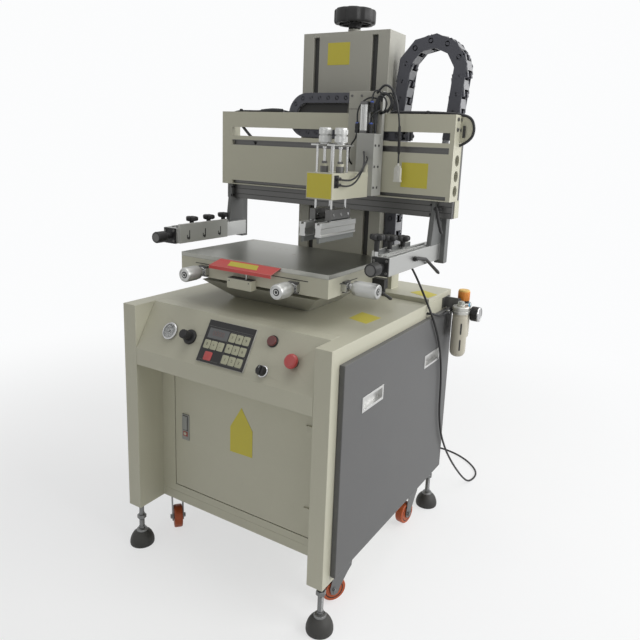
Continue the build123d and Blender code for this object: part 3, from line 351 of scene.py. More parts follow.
lead_sheath = coated("lead_sheath", (0.014, 0.014, 0.015), gloss=0.42, film=0.06, grain=500.0,
    Specular_IOR_Level=0.35)
moulded_black = coated(
    "moulded_black", (0.014, 0.014, 0.015), gloss=0.40, film=0.07, grain=1500.0, relief=0.12, Specular_IOR_Level=0.3
)
bright_pin = coated("bright_pin", (0.72, 0.64, 0.42), gloss=0.24, film=0.1, Metallic=1.0)
lead_radius = 3.5
lead_down = [
    (212, 652, 908), (248, 636, 898), (373, 541, 766), (374, 612, 675), (373, 660, 582), (373, 678, 490),
    (373, 681, 400), (374, 706, 312), (376, 765, 224), (381, 822, 156), (387, 876, 98), (397, 940, 34),
    (407, 980, 3.5), (417, 1018, 3.5), (412, 1062, 3.5), (385, 1103, 3.5), (340, 1142, 3.5),
    (284, 1169, 3.5), (219, 1180, 3.5), (150, 1168, 3.5), (98, 1130, 3.5), (70, 1080, 3.5), (64, 1042, 3.5),
]
coil_middle = (25.0, 1030.0)
coil_layers = ((42.0, 3.5), (35.5, 3.6), (35.5, 10.4), (42.2, 10.5), (36.0, 17.3), (42.2, 17.4), (42.2, 17.4))
turn_points = 16
lead_coil = []
for step in range(1, 6 * turn_points + turn_points // 4):
    # In the last quarter of each lap the lead shifts to the next layer's reach and height.
    lap, part = divmod(step, turn_points)
    shift = max(0.0, part / turn_points - 0.75) * 4
    reach, height = (now + (after - now) * shift for now,
        after in zip(coil_layers[lap], coil_layers[min(lap + 1, 6)]))
    turn = -2 * pi * step / turn_points
    reach /= cos(pi / turn_points)
    lead_coil.append((coil_middle[0] + reach * cos(turn), coil_middle[1] + reach * sin(turn), height))
lead_end = [(14, 988, 17), (0, 988, 15), (-14, 988, 13), (-30, 988, 13)]
mains_lead = bent_line(
    "mains_lead", lead_down + lead_coil + lead_end, lead_radius, lead_sheath, "cabinet", "mains_cord", "mains_coil"
)

gland_place = (196, 652, 908)
bm = bmesh.new()
add_turned(bm, gland_place, rightward, [(0, 0), (9, 0), (9, 6), (8, 7)], sides=6)
add_turned(bm, gland_place, rightward, [(0, 6.5), (8.6, 6.5), (8.6, 13), (7.4, 15.5), (0, 16)], sides=28)
relief_run = (36, -16, -10)
relief_rings = [(0, -1), (7.0, -1), (7.0, 2)]
for rib in range(5):
    start, size = 3 + 4.4 * rib, 6.6 - 0.45 * rib
    relief_rings += [(size - 1, start), (size - 1, start + 1.2), (size, start + 1.8), (size, start + 3.6)]
relief_rings += [(4.1, 27), (0, 27)]
add_turned(bm, (211, 652.3, 908.2), relief_run, relief_rings)
made_piece(bm, "lead_gland", "cabinet", [moulded_black], "cord_gland", easing=0.3)

bm = bmesh.new()
plug_rings = []
for x, wide, high in ((-21, 5, 5), (-30, 6.5, 6), (-36, 9, 8), (-40, 15, 11), (-44, 17.6, 12.6), (-55, 18, 13),
    (-57, 17.2, 12.2)):
    ring = []
    for i in range(24):
        turn = 2 * pi * i / 24
        square = max(abs(cos(turn)), abs(sin(turn))) ** -0.75
        ring.append(at(x, 988 + wide * min(1, abs(cos(turn)) * square) * (1 if cos(turn) > 0 else -1),
                       13 + high * min(1, abs(sin(turn)) * square) * (1 if sin(turn) > 0 else -1)))
    plug_rings.append(ring)
add_rings(bm, plug_rings)
for y, z, half_y, half_z in ((982, 9, 3.1, 0.8), (994, 9, 3.1, 0.8), (988, 19, 0.8, 3.1)):
    add_block(bm, (-69, y - half_y, z - half_z), (-56.8, y + half_y, z + half_z), finish=1)
lead_plug = made_piece(bm, "lead_plug", "cabinet", [moulded_black, bright_pin], "mains_plug", easing=0.4)

bm = bmesh.new()
tie_turn = radians(150)
tie_out = Vector((cos(tie_turn), sin(tie_turn), 0))
tie_side = Vector((-sin(tie_turn), cos(tie_turn), 0))
tie_middle = Vector((*coil_middle, 10.6)) + tie_out * 39
tie_rings = []
for reach, rise in ((-8.6, -10.2), (-8.6, 11.6), (8.6, 11.6), (8.6, -10.2)):
    inner = tie_middle + tie_out * reach + Vector((0, 0, rise))
    outer = tie_middle + tie_out * reach * 1.12 + Vector((0, 0, rise * (1.09 if rise > 0 else 1.02)))
    tie_rings.append([at(*(point + tie_side * side)) for point,
        side in ((inner, -2.5), (outer, -2.5), (outer, 2.5), (inner, 2.5))])
for near, far in zip(tie_rings, tie_rings[1:] + tie_rings[:1]):
    add_rings(bm, [near, far])
coil_tie = made_piece(bm, "coil_tie", "cabinet", [moulded_black], easing=0.3)


# The signal cord of the carriage: a thin black cord that leaves the hose bow above the casting,
# hangs before the beam in a thicker sleeve and ends in a white moulded connector.
hose_skin = coated("hose_skin", (0.012, 0.013, 0.015), gloss=0.30, film=0.04, grain=500.0, Specular_IOR_Level=0.35)
connector_white = coated("connector_white", (0.66, 0.66, 0.62), gloss=0.4, film=0.25)
signal_run = [
    (210, 466, 1389), (232, 466, 1401), (246, 465, 1379), (254, 478, 1343), (259, 477, 1303),
    (261, 479, 1253), (262, 478, 1198),
]
signal_cord = bent_line("signal_cord", signal_run, 2.5, hose_skin, "carriage", "hanging_cord")
bm = bmesh.new()
add_block(bm, (252, 472.5, 1152), (272, 483.5, 1190))
add_block(bm, (254.5, 474.5, 1190), (269.5, 481.5, 1196))
add_block(bm, (251, 471.5, 1150), (273, 484.5, 1155))
add_block(bm, (257, 471.5, 1160), (267, 473, 1184))
add_block(bm, (259.5, 470.8, 1176), (264.5, 472, 1182))
add_turned(bm, (262, 478, 1194), upward, [(0, 0), (4.2, 0), (3.4, 5), (2.9, 9), (0, 9)])
signal_plug = made_piece(bm, "signal_plug", "carriage", [connector_white], "cord_connector", easing=0.7)
bm = bmesh.new()
add_turned(bm, (261.4, 478.8, 1229), (-2.4, -1.2, 78), [(2.6, -1), (4.0, 3), (4.1, 74), (2.6, 79)])
signal_sleeve = made_piece(bm, "signal_sleeve", "carriage", [moulded_black], easing=0.3)
tuple(at(*signal_run[0]))


# The cabinet: a welded shell of folded sheet with two thick side walls, a pan, a back and a top,
# all under one coat of smooth cream machine paint that is a little dusty and rubbed at its edges.
edge_tint, tint_in, tint_out = new_group(
    "edge_tint", {"Colour": "colour", "Rubbed": "colour", "Width": "number", "Amount": "number"}, {"Colour": "colour"}
)
tint_bevel = put(edge_tint, "ShaderNodeBevel", samples=4)
edge_tint.links.new(tint_in.outputs["Width"], tint_bevel.inputs["Radius"])
tint_flat = put(edge_tint, "ShaderNodeNewGeometry")
tint_dot = put(edge_tint, "ShaderNodeVectorMath", operation="DOT_PRODUCT")
edge_tint.links.new(tint_bevel.outputs["Normal"], tint_dot.inputs[0])
edge_tint.links.new(tint_flat.outputs["Normal"], tint_dot.inputs[1])
tint_place = own_place(edge_tint)
tint_patch = put(edge_tint, "ShaderNodeTexNoise", Vector=tint_place, Scale=18.0, Detail=4.0)
tint_edge = worked(edge_tint, "MULTIPLY", worked(edge_tint, "SUBTRACT", 1.0, tint_dot.outputs["Value"]), 6.0)
tint_share = worked(edge_tint, "MULTIPLY", tint_edge, worked(edge_tint, "SUBTRACT", tint_patch.outputs["Fac"], 0.3))
tint_share = worked(edge_tint, "MULTIPLY", tint_share, tint_in.outputs["Amount"])
tint_share = worked(edge_tint, "MINIMUM", worked(edge_tint, "MAXIMUM", tint_share, 0.0), 0.85)
edge_tint.links.new(
    blended(edge_tint, tint_share, tint_in.outputs["Colour"], tint_in.outputs["Rubbed"]), tint_out.inputs["Colour"]
)


def painted(name, colour, gloss=0.42, film=0.28, rub=1.0, rubbed=(0.50, 0.49, 0.45), relief=0.05):
    """Machine paint on sheet or castings: shop film over it, its edges tinted towards a second colour as worn paint;
    on the red shelf that pale tint is partly a painted highlight.
    """
    material = coated(name, colour, gloss=gloss, film=film, grain=320.0, relief=relief)
    tree = material.node_tree
    shader = tree.nodes["Principled BSDF"]
    shader.inputs["Coat Weight"].default_value = 0.12
    shader.inputs["Coat Roughness"].default_value = 0.25
    skin = next(node for node in tree.nodes if node.type == "GROUP")
    tinting = put(
        tree, "ShaderNodeGroup", node_tree=edge_tint, Colour=skin.outputs["Colour"], Rubbed=(*rubbed, 1),
        Width=0.0022, Amount=rub,
    )
    tree.links.new(tinting.outputs["Colour"], shader.inputs["Base Color"])
    return material


def merged_solid(node):
    """A copy of the node's own solid, its loose triangles merged."""
    bm = bmesh.new()
    bm.from_mesh(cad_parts[node].data)
    for face in bm.faces:
        face.material_index = 0
    bmesh.ops.remove_doubles(bm, verts=bm.verts, dist=2e-6)
    return bm


def flattened(bm):
    """The mesh with the triangles of each flat face joined."""
    bmesh.ops.dissolve_limit(bm, angle_limit=radians(0.6), verts=bm.verts, edges=bm.edges)
    return bm


def eased_solid(node, body, finishes, easing=1.0):
    """The node's own solid with its edges rounded as folded, cast or ground metal has them."""
    return made_piece(flattened(merged_solid(node)), f"{node}_body", body, finishes, node, easing=easing)


cream_paint = painted("cream_paint", (0.54, 0.53, 0.42))
eased_solid("cabinet_shell", "cabinet", [cream_paint], 1.6)
eased_solid("rear_cover", "cabinet", [cream_paint], 1.4)

# The console and the frame round the door: folded cream sheet, the console sloping back, with
# the plain seam where it is let in between the cabinet's two walls.
eased_solid("console", "cabinet", [cream_paint], 1.6)
eased_solid("front_frame", "cabinet", [cream_paint], 0.8)

# The front door: a folded cream sheet on two lift-off hinges, with a pale swing-handle lock let
# into its left side, a red catch in it, and a bare yellow sticker in the door's middle.
eased_solid("front_door", "front_door", [cream_paint], 1.0)
lock_grey = coated("lock_grey", (0.30, 0.31, 0.30), gloss=0.36, film=0.25, relief=0.08)
catch_red = coated("catch_red", (0.34, 0.05, 0.035), gloss=0.4, film=0.25)
plain_black = coated("plain_black", (0.02, 0.02, 0.02), gloss=0.6, film=0.12)
lock_left, lock_right, lock_low, lock_high = -218.5, -192.5, 360.0, 441.0
bm = bmesh.new()
add_block(bm, (lock_left - 0.3, 94.6, lock_low - 0.3), (lock_right + 0.3, 98.1, lock_high + 0.3))
add_block(bm, (lock_left + 3, 94.5, lock_low + 30), (lock_right - 3, 94.8, lock_high - 3), finish=1)
add_block(bm, (lock_left + 5.5, 92.4, lock_low + 33), (lock_right - 5.5, 95.2, lock_high - 5))
add_block(bm, (lock_left + 5, 93.6, lock_low + 12), (lock_right - 4, 95, lock_low + 27), finish=2)
made_piece(bm, "door_lock", "front_door", [lock_grey, plain_black, catch_red], easing=0.7)
sticker_yellow = coated("sticker_yellow", (0.62, 0.54, 0.05), gloss=0.5, film=0.25, relief=0.03)


def sticker(name, body, outline, lift):
    """A thin bare sticker laid on a painted face."""
    bm = bmesh.new()
    add_prism(bm, outline, lift)
    return made_piece(bm, name, body, [sticker_yellow])


sticker(
    "door_sticker", "front_door", [(-34, 97.7, 374), (46, 97.7, 376), (46, 97.7, 456), (6, 97.7, 517),
        (-34, 97.7, 451)],
    (0, -0.4, 0),
)
sticker("top_sticker", "cabinet", [(236, 276, 781), (301, 256, 781), (306, 335, 781), (235, 356, 781)], (0, 0, 0.4))
sticker("cover_sticker", "cabinet", [(262, 628, 795), (339, 592, 795), (346, 652, 795), (286, 682, 795)], (0, 0, 0.4))

# The two dark side panels: loose sheets in satin dark grey with eased edges, each lifted out by
# two recessed grips of bare cast metal.
panel_grey = painted("panel_grey", (0.072, 0.074, 0.078), gloss=0.50, film=0.30, rub=0.6, rubbed=(0.16, 0.16, 0.17),
    relief=0.16)
grip_metal = coated("grip_metal", (0.62, 0.62, 0.61), gloss=0.30, film=0.18, grain=700.0, relief=0.1, Metallic=0.9)
eased_solid("side_panels", "cabinet", [panel_grey], 3.0)
eased_solid("panel_grips", "cabinet", [grip_metal], 0.7)


# Four levelling feet: a domed black rubber pad under a zinc-plated swivel cup, a threaded stem and
# a hexagon nut that locks it under the cabinet.
def new_layout(name, takes):
    """A geometry tree with named inputs after the mesh or curve that it starts from."""
    tree = bpy.data.node_groups.new(name, "GeometryNodeTree")
    kinds = {
        "unit": "NodeSocketObject", "size": "NodeSocketFloat", "way": "NodeSocketVector",
        "finish": "NodeSocketMaterial"
    }
    tree.interface.new_socket(name="Places", in_out="INPUT", socket_type="NodeSocketGeometry")
    for word, kind in takes.items():
        tree.interface.new_socket(name=word, in_out="INPUT", socket_type=kinds[kind])
    tree.interface.new_socket(name="Mesh", in_out="OUTPUT", socket_type="NodeSocketGeometry")
    return tree, tree.nodes.new("NodeGroupInput"), tree.nodes.new("NodeGroupOutput")


# Set out: one unit on every place, turned as the place's own attribute says.
set_out, out_in, out_end = new_layout("set_out", {"Unit": "unit", "Size": "size", "Finish": "finish"})
unit_shape = put(set_out, "GeometryNodeObjectInfo", Object=out_in.outputs["Unit"])
unit_turn = put(set_out, "GeometryNodeInputNamedAttribute", data_type="FLOAT_VECTOR", Name="turn")
unit_rotation = put(set_out, "FunctionNodeEulerToRotation", Euler=unit_turn.outputs[0])
unit_stand = put(
    set_out, "GeometryNodeInstanceOnPoints", Points=out_in.outputs["Places"], Instance=unit_shape.outputs["Geometry"],
    Rotation=unit_rotation.outputs[0], Scale=out_in.outputs["Size"],
)
unit_real = put(set_out, "GeometryNodeRealizeInstances", Geometry=unit_stand.outputs[0])
unit_finish = put(
    set_out, "GeometryNodeSetMaterial", Geometry=unit_real.outputs[0], Material=out_in.outputs["Finish"]
)
set_out.links.new(unit_finish.outputs[0], out_end.inputs[0])


def plain_object(name, bm):
    """A helper object that a tree or a cut reads, and that doesn't stay in the scene."""
    bmesh.ops.recalc_face_normals(bm, faces=bm.faces)
    mesh = bpy.data.meshes.new(name)
    bm.to_mesh(mesh)
    bm.free()
    shape = bpy.data.objects.new(name, mesh)
    bpy.context.scene.collection.objects.link(shape)
    return shape


def laid_out(name, start, layout, body, smooth=35, **values):
    """Runs a layout on its start shape, keeps its mesh as a piece and drops the helpers."""
    run = start.modifiers.new(layout.name, "NODES")
    run.node_group = layout
    for socket in layout.interface.items_tree:
        if socket.in_out == "INPUT" and socket.name in values:
            run[socket.identifier] = values[socket.name]
    bpy.context.view_layer.update()
    graph = bpy.context.evaluated_depsgraph_get()
    mesh = bpy.data.meshes.new_from_object(start.evaluated_get(graph))
    mesh.name = name
    mesh.shade_smooth()
    mesh.set_sharp_from_angle(angle=radians(smooth))
    for helper in [start] + [value for value in values.values() if isinstance(value, bpy.types.Object)]:
        bpy.data.objects.remove(helper)
    piece = bpy.data.objects.new(name, mesh)
    bpy.context.scene.collection.objects.link(piece)
    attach(piece, body)
    return piece


def facing(way, spin=0.0):
    """The turn that lays a unit's own Z along a way."""
    return Vector(way).to_track_quat("Z", "Y").to_matrix() @ Matrix.Rotation(spin, 3, "Z")


def repeated(name, unit, places, body, finish, smooth=35):
    """One unit on each place, a point in metres and a turn."""
    mesh = bpy.data.meshes.new(f"{name}_places")
    mesh.from_pydata([tuple(point) for point, turn in places], [], [])
    turns = mesh.attributes.new("turn", "FLOAT_VECTOR", "POINT")
    for i, (point, turn) in enumerate(places):
        turns.data[i].vector = turn.to_euler()
    start = bpy.data.objects.new(f"{name}_places", mesh)
    bpy.context.scene.collection.objects.link(start)
    return laid_out(name, start, set_out, body, smooth, Unit=plain_object(f"{name}_unit", unit), Size=1.0,
        Finish=finish)


def own(x, y, z):
    """A unit's own millimetres."""
    return Vector((x, y, z)) * millimetre


foot_places = [(side * 330.0, depth) for side in (-1, 1) for depth in (29.0, 747.0)]
foot_rubber = coated("foot_rubber", (0.017, 0.017, 0.017), gloss=0.5, film=0.35, dust=(0.12, 0.115, 0.10, 1),
    relief=0.25)
zinc_plate = coated("zinc_plate", (0.21, 0.213, 0.215), gloss=0.36, film=0.35, dust=(0.12, 0.115, 0.10, 1),
    grain=240.0, relief=0.06, Metallic=1.0)
bm = bmesh.new()
for x, y in foot_places:
    pad = [(0, 0), (33, 0), (36.2, 2), (37, 6), (36.6, 14), (34.6, 22), (31.2, 30), (26.6, 37), (21, 42), (17.2, 45),
        (0, 45)]
    add_turned(bm, (x, y, 0), upward, pad, sides=48)
made_piece(bm, "foot_rubbers", "cabinet", [foot_rubber], "foot_pads", easing=0.5)
bm = bmesh.new()
for x, y in foot_places:
    add_turned(bm, (x, y, 44), upward, [(0, 0), (17, 0), (17, 3), (15, 6.5), (10, 8), (0, 8)], sides=36)
    add_turned(bm, (x, y, 51), upward, [(0, 0), (7.3, 0), (7.3, 92), (0, 92)], sides=24)
    add_turned(bm, (x, y, 52), upward, [(0, 0), (9.5, 0), (9.5, 8), (0, 8)], sides=6)
    add_turned(bm, (x, y, 86 if (x, y) == foot_places[0] else 108), (0, 0, 1),
        [(0, 0), (12, 0), (13.8, 1.5), (13.8, 11.5), (12, 13), (0, 13)], sides=6)
    add_turned(bm, (x, y, 139), upward, [(0, 0), (17, 0), (17, 1.4), (0, 1.4)], sides=36)
made_piece(bm, "foot_bolts", "cabinet", [zinc_plate], "foot_stems", easing=0.3)
unit = bmesh.new()
add_rings(unit, [[own(r * cos(pi * i / 8), r * sin(pi * i / 8), h) for i in range(16)] for r,
    h in ((7.2, -0.9), (8.0, 0), (7.2, 0.9))])
thread_places = [(at(x, y, 62 + 2.0 * turn), facing(upward)) for x, y in foot_places for turn in range(23)]
repeated("foot_threads", unit, thread_places, "cabinet", zinc_plate, smooth=20)

# Four swivel castors: a plated top plate and ball race under the cabinet, a pressed fork that
# trails, and an orange tread cast round a black hub that turns on a bolt.
tread_orange = coated("tread_orange", (0.52, 0.09, 0.015), gloss=0.38, film=0.40, dust=(0.07, 0.045, 0.03, 1),
    relief=0.12)
castors = {
    "front_left": ((-315, 165), 50.0), "front_right": ((315, 165), -35.0),
    "rear_left": ((-315, 620), 25.0), "rear_right": ((315, 620), -8.0),
}
axle = (-28, 44)
bm = bmesh.new()
bolt_places = []
for (x, y), heading_turn in castors.values():
    add_block(bm, (x - 31, y - 31, 139), (x + 31, y + 31, 143))
    add_turned(bm, (x, y, 132.3), upward, [(0, 0), (19, 0), (22, 2.2), (22, 5.2), (20, 7.2), (0, 7.2)], sides=36)
    bolt_places += [(at(x + i * 23, y + j * 23, 139), facing((0, 0, -1))) for i in (-1, 1) for j in (-1, 1)]
made_piece(bm, "castor_tops", "cabinet", [zinc_plate], "castor_plates", easing=0.5)
unit = bmesh.new()
add_turned(unit, (0, 0, 0), upward, [(0, -0.2), (6.2, -0.2), (6.6, 0.4), (6.6, 3.6), (6.0, 4.2), (0, 4.2)],
    place=own, sides=6)
repeated("castor_bolts", unit, bolt_places, "cabinet", zinc_plate)


def castor_place(corner):
    """Places on one castor: across its fork, along its trail, and above the floor."""
    (x, y), heading_turn = castors[corner]
    turn = radians(heading_turn)

    def place(u, v, z):
        return at(x + u * cos(turn) - v * sin(turn), y + u * sin(turn) + v * cos(turn), z)

    return place


for corner in castors:
    place = castor_place(corner)
    bm = bmesh.new()
    add_turned(bm, (0, 0, 120), upward, [(0, 0), (23.5, 0), (25, 1.5), (25, 10), (23, 12), (0, 12)], place, sides=36)
    for side in (-1, 1):
        inner = side * 15.0
        leg = [(inner, v, z) for v, z in (
            (22, 132), (-22, 132), (-34, 88), (-42, 50), (-38, 33), (-28, 28.5), (-18, 33), (-12, 52), (8, 92),
            (20, 112),
        )]
        add_prism(bm, leg, (side * 3.0, 0, 0), place)
        add_turned(bm, (side * 17.8, *axle), (side, 0, 0),
            [(0, 0), (9, 0), (9, 1), (7.4, 1.2), (7.4, 5.4), (6.4, 6.2), (0, 6.2)], place, sides=6)
    add_turned(bm, (-18, *axle), rightward, [(0, 0), (5, 0), (5, 36), (0, 36)], place, sides=20)
    made_piece(bm, f"castor_{corner}_fork", f"castor_{corner}", [zinc_plate], f"castor_fork_{corner}", easing=0.6)
    bm = bmesh.new()
    tread = [(27.0, -12.6), (33.6, -12.8), (35.6, -10.6), (36.0, -6), (36.0, 6), (35.6, 10.6), (33.6, 12.8),
        (27.0, 12.6)]
    add_turned(bm, (0, *axle), rightward, [(0, -12.4)] + tread + [(0, 12.4)], place, sides=56)
    hub = [(0, -13), (10.0, -13), (10.6, -12.2), (11.4, -9.4), (22.5, -8.6), (24.4, -12.9), (27.2, -12.9), (27.4, 0)]
    hub += [(radius, -height) for radius, height in hub[-2::-1]]
    add_turned(bm, (0, *axle), rightward, hub, place, finish=1, sides=48)
    made_piece(bm, f"castor_{corner}_tyre", f"castor_wheel_{corner}", [tread_orange, moulded_black],
        f"castor_wheel_{corner}", easing=0.4)


# The column: a tall box of painted plate with two guide slots cut in its front, a bearing boss on
# its top and a bare sticker, and on the boss a moulded black handwheel with eight finger lobes.
stone_paint = painted("stone_paint", (0.40, 0.395, 0.345), gloss=0.46, film=0.30, rubbed=(0.52, 0.51, 0.46))
eased_solid("column", "cabinet", [stone_paint], 1.6)
bm = bmesh.new()
for side in (-1, 1):
    x = side * 105.0
    add_block(bm, (x - 9.8, 604, 871), (x + 9.8, 633.8, 1577))
made_piece(bm, "column_slot_linings", "cabinet", [plain_black])
sticker("column_sticker", "cabinet", [(-62, 594, 1493), (18, 594, 1493), (18, 594, 1560), (-62, 594, 1560)],
    (0, -0.4, 0))
bm = bmesh.new()
rim_top = [(66, 8), (66, 37), (63.4, 42), (55, 44.5), (27, 45), (24, 42), (12, 42), (10, 44.6), (0, 44.6)]
wheel_profile = [(0, 0), (20, 0), (21, 2), (21, 30), (47, 30), (51, 1.5), (53, 0), (62, 0), (65, 3)] + rim_top
finger_lobes = lambda turn: 1.0 if abs(sin(4 * turn)) > 0.62 else 0.925 + 0.075 * (abs(sin(4 * turn)) / 0.62) ** 2
add_turned(bm, (0, 649, 1621), upward, wheel_profile, sides=128, lobes=finger_lobes)
for spoke in range(8):
    out = Vector((cos(pi * spoke / 4), sin(pi * spoke / 4), 0))
    beside = Vector((-out.y, out.x, 0))
    foot = [Vector((0, 649, 1624)) + out * reach + beside * half for reach,
        half in ((19, -2.6), (50, -2), (50, 2), (19, 2.6))]
    add_prism(bm, [tuple(point) for point in foot], (0, 0, 30))
add_turned(bm, (0, 649, 1606), upward, [(0, 0), (15, 0), (19.5, 3), (19.5, 15.5), (0, 15.5)], sides=36)
add_turned(bm, (0, 649, 1568), upward, [(0, 0), (8, 0), (8, 38.5), (0, 38.5)], sides=24, finish=1)
made_piece(bm, "handwheel_moulding", "handwheel", [moulded_black, zinc_plate], "handwheel", easing=0.5)


# The upright energy chain: hinged plastic links that loop over beside the column, each with two
# side plates and a pair of lighter bars clipped across, round the hoses of the head.
chain_slate = coated("chain_slate", (0.046, 0.048, 0.062), gloss=0.46, film=0.30, dust=(0.16, 0.16, 0.17, 1),
    relief=0.12)
chain_bar = coated("chain_bar", (0.24, 0.245, 0.26), gloss=0.42, film=0.25, relief=0.1)
along_path, path_in, path_end = new_layout(
    "along_path", {"Unit": "unit", "Pitch": "size", "Across": "way", "Finish": "finish"}
)
path_curve, path_pitch = path_in.outputs["Places"], path_in.outputs["Pitch"]
path_long = put(along_path, "GeometryNodeCurveLength", Curve=path_curve)
path_trim = put(along_path, "GeometryNodeTrimCurve", mode="LENGTH", Curve=path_curve)
along_path.links.new(worked(along_path, "MULTIPLY", path_pitch, 0.5), path_trim.inputs[4])
along_path.links.new(path_long.outputs[0], path_trim.inputs[5])
path_points = put(
    along_path, "GeometryNodeCurveToPoints", mode="LENGTH", Curve=path_trim.outputs[0], Length=path_pitch
)
path_unit = put(along_path, "GeometryNodeObjectInfo", Object=path_in.outputs["Unit"])
path_up = put(along_path, "FunctionNodeAlignRotationToVector", axis="Z", Vector=path_points.outputs["Tangent"])
path_over = put(
    along_path, "FunctionNodeAlignRotationToVector", axis="Y", pivot_axis="Z",
    Rotation=path_up.outputs[0], Vector=path_in.outputs["Across"],
)
path_stand = put(
    along_path, "GeometryNodeInstanceOnPoints", Points=path_points.outputs["Points"],
    Instance=path_unit.outputs["Geometry"], Rotation=path_over.outputs[0],
)
path_real = put(along_path, "GeometryNodeRealizeInstances", Geometry=path_stand.outputs[0])
path_finish = put(
    along_path, "GeometryNodeSetMaterial", Geometry=path_real.outputs[0], Material=path_in.outputs["Finish"]
)
along_path.links.new(path_finish.outputs[0], path_end.inputs[0])


def strung(name, unit, line, pitch, body, finish):
    """Units strung on a line of places, a pitch apart, with their own Y across it."""
    curve = bpy.data.curves.new(f"{name}_line", "CURVE")
    curve.dimensions = "3D"
    spline = curve.splines.new("POLY")
    spline.points.add(len(line) - 1)
    for point, place in zip(spline.points, line):
        point.co = (*place, 1.0)
    start = bpy.data.objects.new(f"{name}_line", curve)
    bpy.context.scene.collection.objects.link(start)
    return laid_out(
        name, start, along_path, body, Unit=plain_object(f"{name}_unit", unit), Pitch=pitch * millimetre,
        Across=(0, 1, 0), Finish=finish,
    )


def chain_link(length, thick, wide, bars):
    """One link about its middle, Z along the chain, X through its thickness, Y across."""
    unit = bmesh.new()
    for side in (-1, 1):
        near = side * (thick / 2 - 0.1)
        if bars:
            far = near - side * 3.4
            for y, half in ((-wide / 2, length * 0.46), (-wide / 2 + 5, length * 0.27),
                (wide / 2 - 5, length * 0.27)):
                reach = 5 if half > length * 0.4 or y > 0 else wide - 10
                half = length * 0.46 if y > 0 else half
                outline = [(near, y, -half), (near, y, half), (far, y, half - 1.5), (far, y, 1.5 - half)]
                add_prism(unit, outline, (0, reach, 0), place=own)
            continue
        for z in (-length / 2, length / 2):
            hub = [(0, 0), (thick * 0.24, 0), (thick * 0.22, 1.2), (thick * 0.12, 1.2), (thick * 0.1, 0.6), (0, 0.6)]
            add_turned(unit, (0, side * (wide / 2 - 1.1), z), (0, side, 0), hub, place=own, sides=20)
            low, high = sorted((side * wide * 0.16, side * wide * 0.4))
            add_block(unit, (-thick / 2 + 2.5, low, z - length * 0.15), (thick / 2 - 2.5, high, z + length * 0.15),
                place=own)
    return unit


lean = radians(5.4)


def chain_place(u, v, across=651.0):
    """Places on the leaning part of the upright chain: out from its middle and up."""
    return at(265 + u * cos(lean) + v * sin(lean), across, 1300 - u * sin(lean) + v * cos(lean))


chain_line = [at(177, 651, 921), at(177, 651, 1306)]
chain_line += [chain_place(-92.5 * cos(pi * i / 10), 166 + 92.5 * sin(pi * i / 10)) for i in (1, 3, 5, 7, 9)]
chain_line += [chain_place(88, -17)]


def chain_side(bm, name, body, depth, out, easing):
    """One side plate of a chain: what its solid has on the outer side of a depth."""
    bmesh.ops.bisect_plane(
        bm, geom=bm.verts[:] + bm.edges[:] + bm.faces[:], plane_co=at(0, depth, 0), plane_no=(0, out, 0),
        clear_outer=True,
    )
    bmesh.ops.holes_fill(bm, edges=[edge for edge in bm.edges if edge.is_boundary])
    return made_piece(flattened(bm), name, body, [chain_slate], easing=easing)


def chain_hoses(node, body, line, hoses):
    """The hoses in a chain, each with its shift to the side and its radius."""
    for number, (shift, radius) in enumerate(hoses):
        run = [(x, y + shift, z) for x, y, z in map(measured, line)]
        bent_line(f"{node}_hose_{number}", run, radius, hose_skin, body)


chain_pitch = 51.0
chain_side(merged_solid("lift_chain"), "lift_chain_side_near", "cabinet", 628.6, 1, 1.2)
lift_side = chain_side(merged_solid("lift_chain"), "lift_chain_side_far", "cabinet", 673.4, -1, 1.2)
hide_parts("lift_chain")
strung("lift_chain_bars", chain_link(chain_pitch, 38, 46.0, True), chain_line, chain_pitch, "cabinet", chain_bar)
strung("lift_chain_pads", chain_link(chain_pitch, 38, 54.4, False), chain_line, chain_pitch, "cabinet", chain_slate)
chain_hoses("lift_chain", "cabinet", chain_line, ((-13, 6.0), (4, 7.0), (17, 4.5)))


# The printing table: a painted tapering pedestal, a dark ground cross slide, a painted box and on it
# a thick plate of polished steel that is stained and scratched by use.
eased_solid("table_pedestal", "cabinet", [stone_paint], 2.0)
ground_dark = coated("ground_dark", (0.10, 0.10, 0.10), gloss=0.36, film=0.3, grain=400.0, Metallic=0.7)
eased_solid("table_saddle", "table_saddle", [ground_dark], 0.8)
eased_solid("table_box", "table", [cream_paint], 1.2)
plate_steel, plate_tree, plate_shader = new_surface("plate_steel", Metallic=1.0)
plate_place = own_place(plate_tree)
plate_clouds = put(plate_tree, "ShaderNodeTexNoise", Vector=plate_place, Scale=5.0, Detail=6.0, Roughness=0.62)
plate_stretch = put(plate_tree, "ShaderNodeMapping", Vector=plate_place, Scale=(9.0, 260.0, 60.0))
plate_brush = put(plate_tree, "ShaderNodeTexNoise", Vector=plate_stretch.outputs[0], Scale=3.0, Detail=3.0)
plate_spots = put(plate_tree, "ShaderNodeTexVoronoi", Vector=plate_place, Scale=26.0, Randomness=1.0)
plate_spot = worked(plate_tree, "LESS_THAN", plate_spots.outputs["Distance"], 0.16)
plate_few = worked(plate_tree, "GREATER_THAN", plate_clouds.outputs["Fac"], 0.58)
plate_spot = worked(plate_tree, "MULTIPLY", worked(plate_tree, "MULTIPLY", plate_spot, plate_few), 0.5)
plate_tone = blended(plate_tree, plate_clouds.outputs["Fac"], (0.15, 0.153, 0.135, 1), (0.46, 0.46, 0.42, 1))
plate_tone = blended(plate_tree, plate_spot, plate_tone, (0.20, 0.15, 0.10, 1))
plate_tree.links.new(plate_tone, plate_shader.inputs["Base Color"])
plate_matt = worked(plate_tree, "MULTIPLY_ADD", plate_clouds.outputs["Fac"], 0.26, 0.20)
plate_tree.links.new(plate_matt, plate_shader.inputs["Roughness"])
plate_bump = put(plate_tree, "ShaderNodeBump", Strength=0.05, Distance=0.0004, Height=plate_brush.outputs["Fac"])
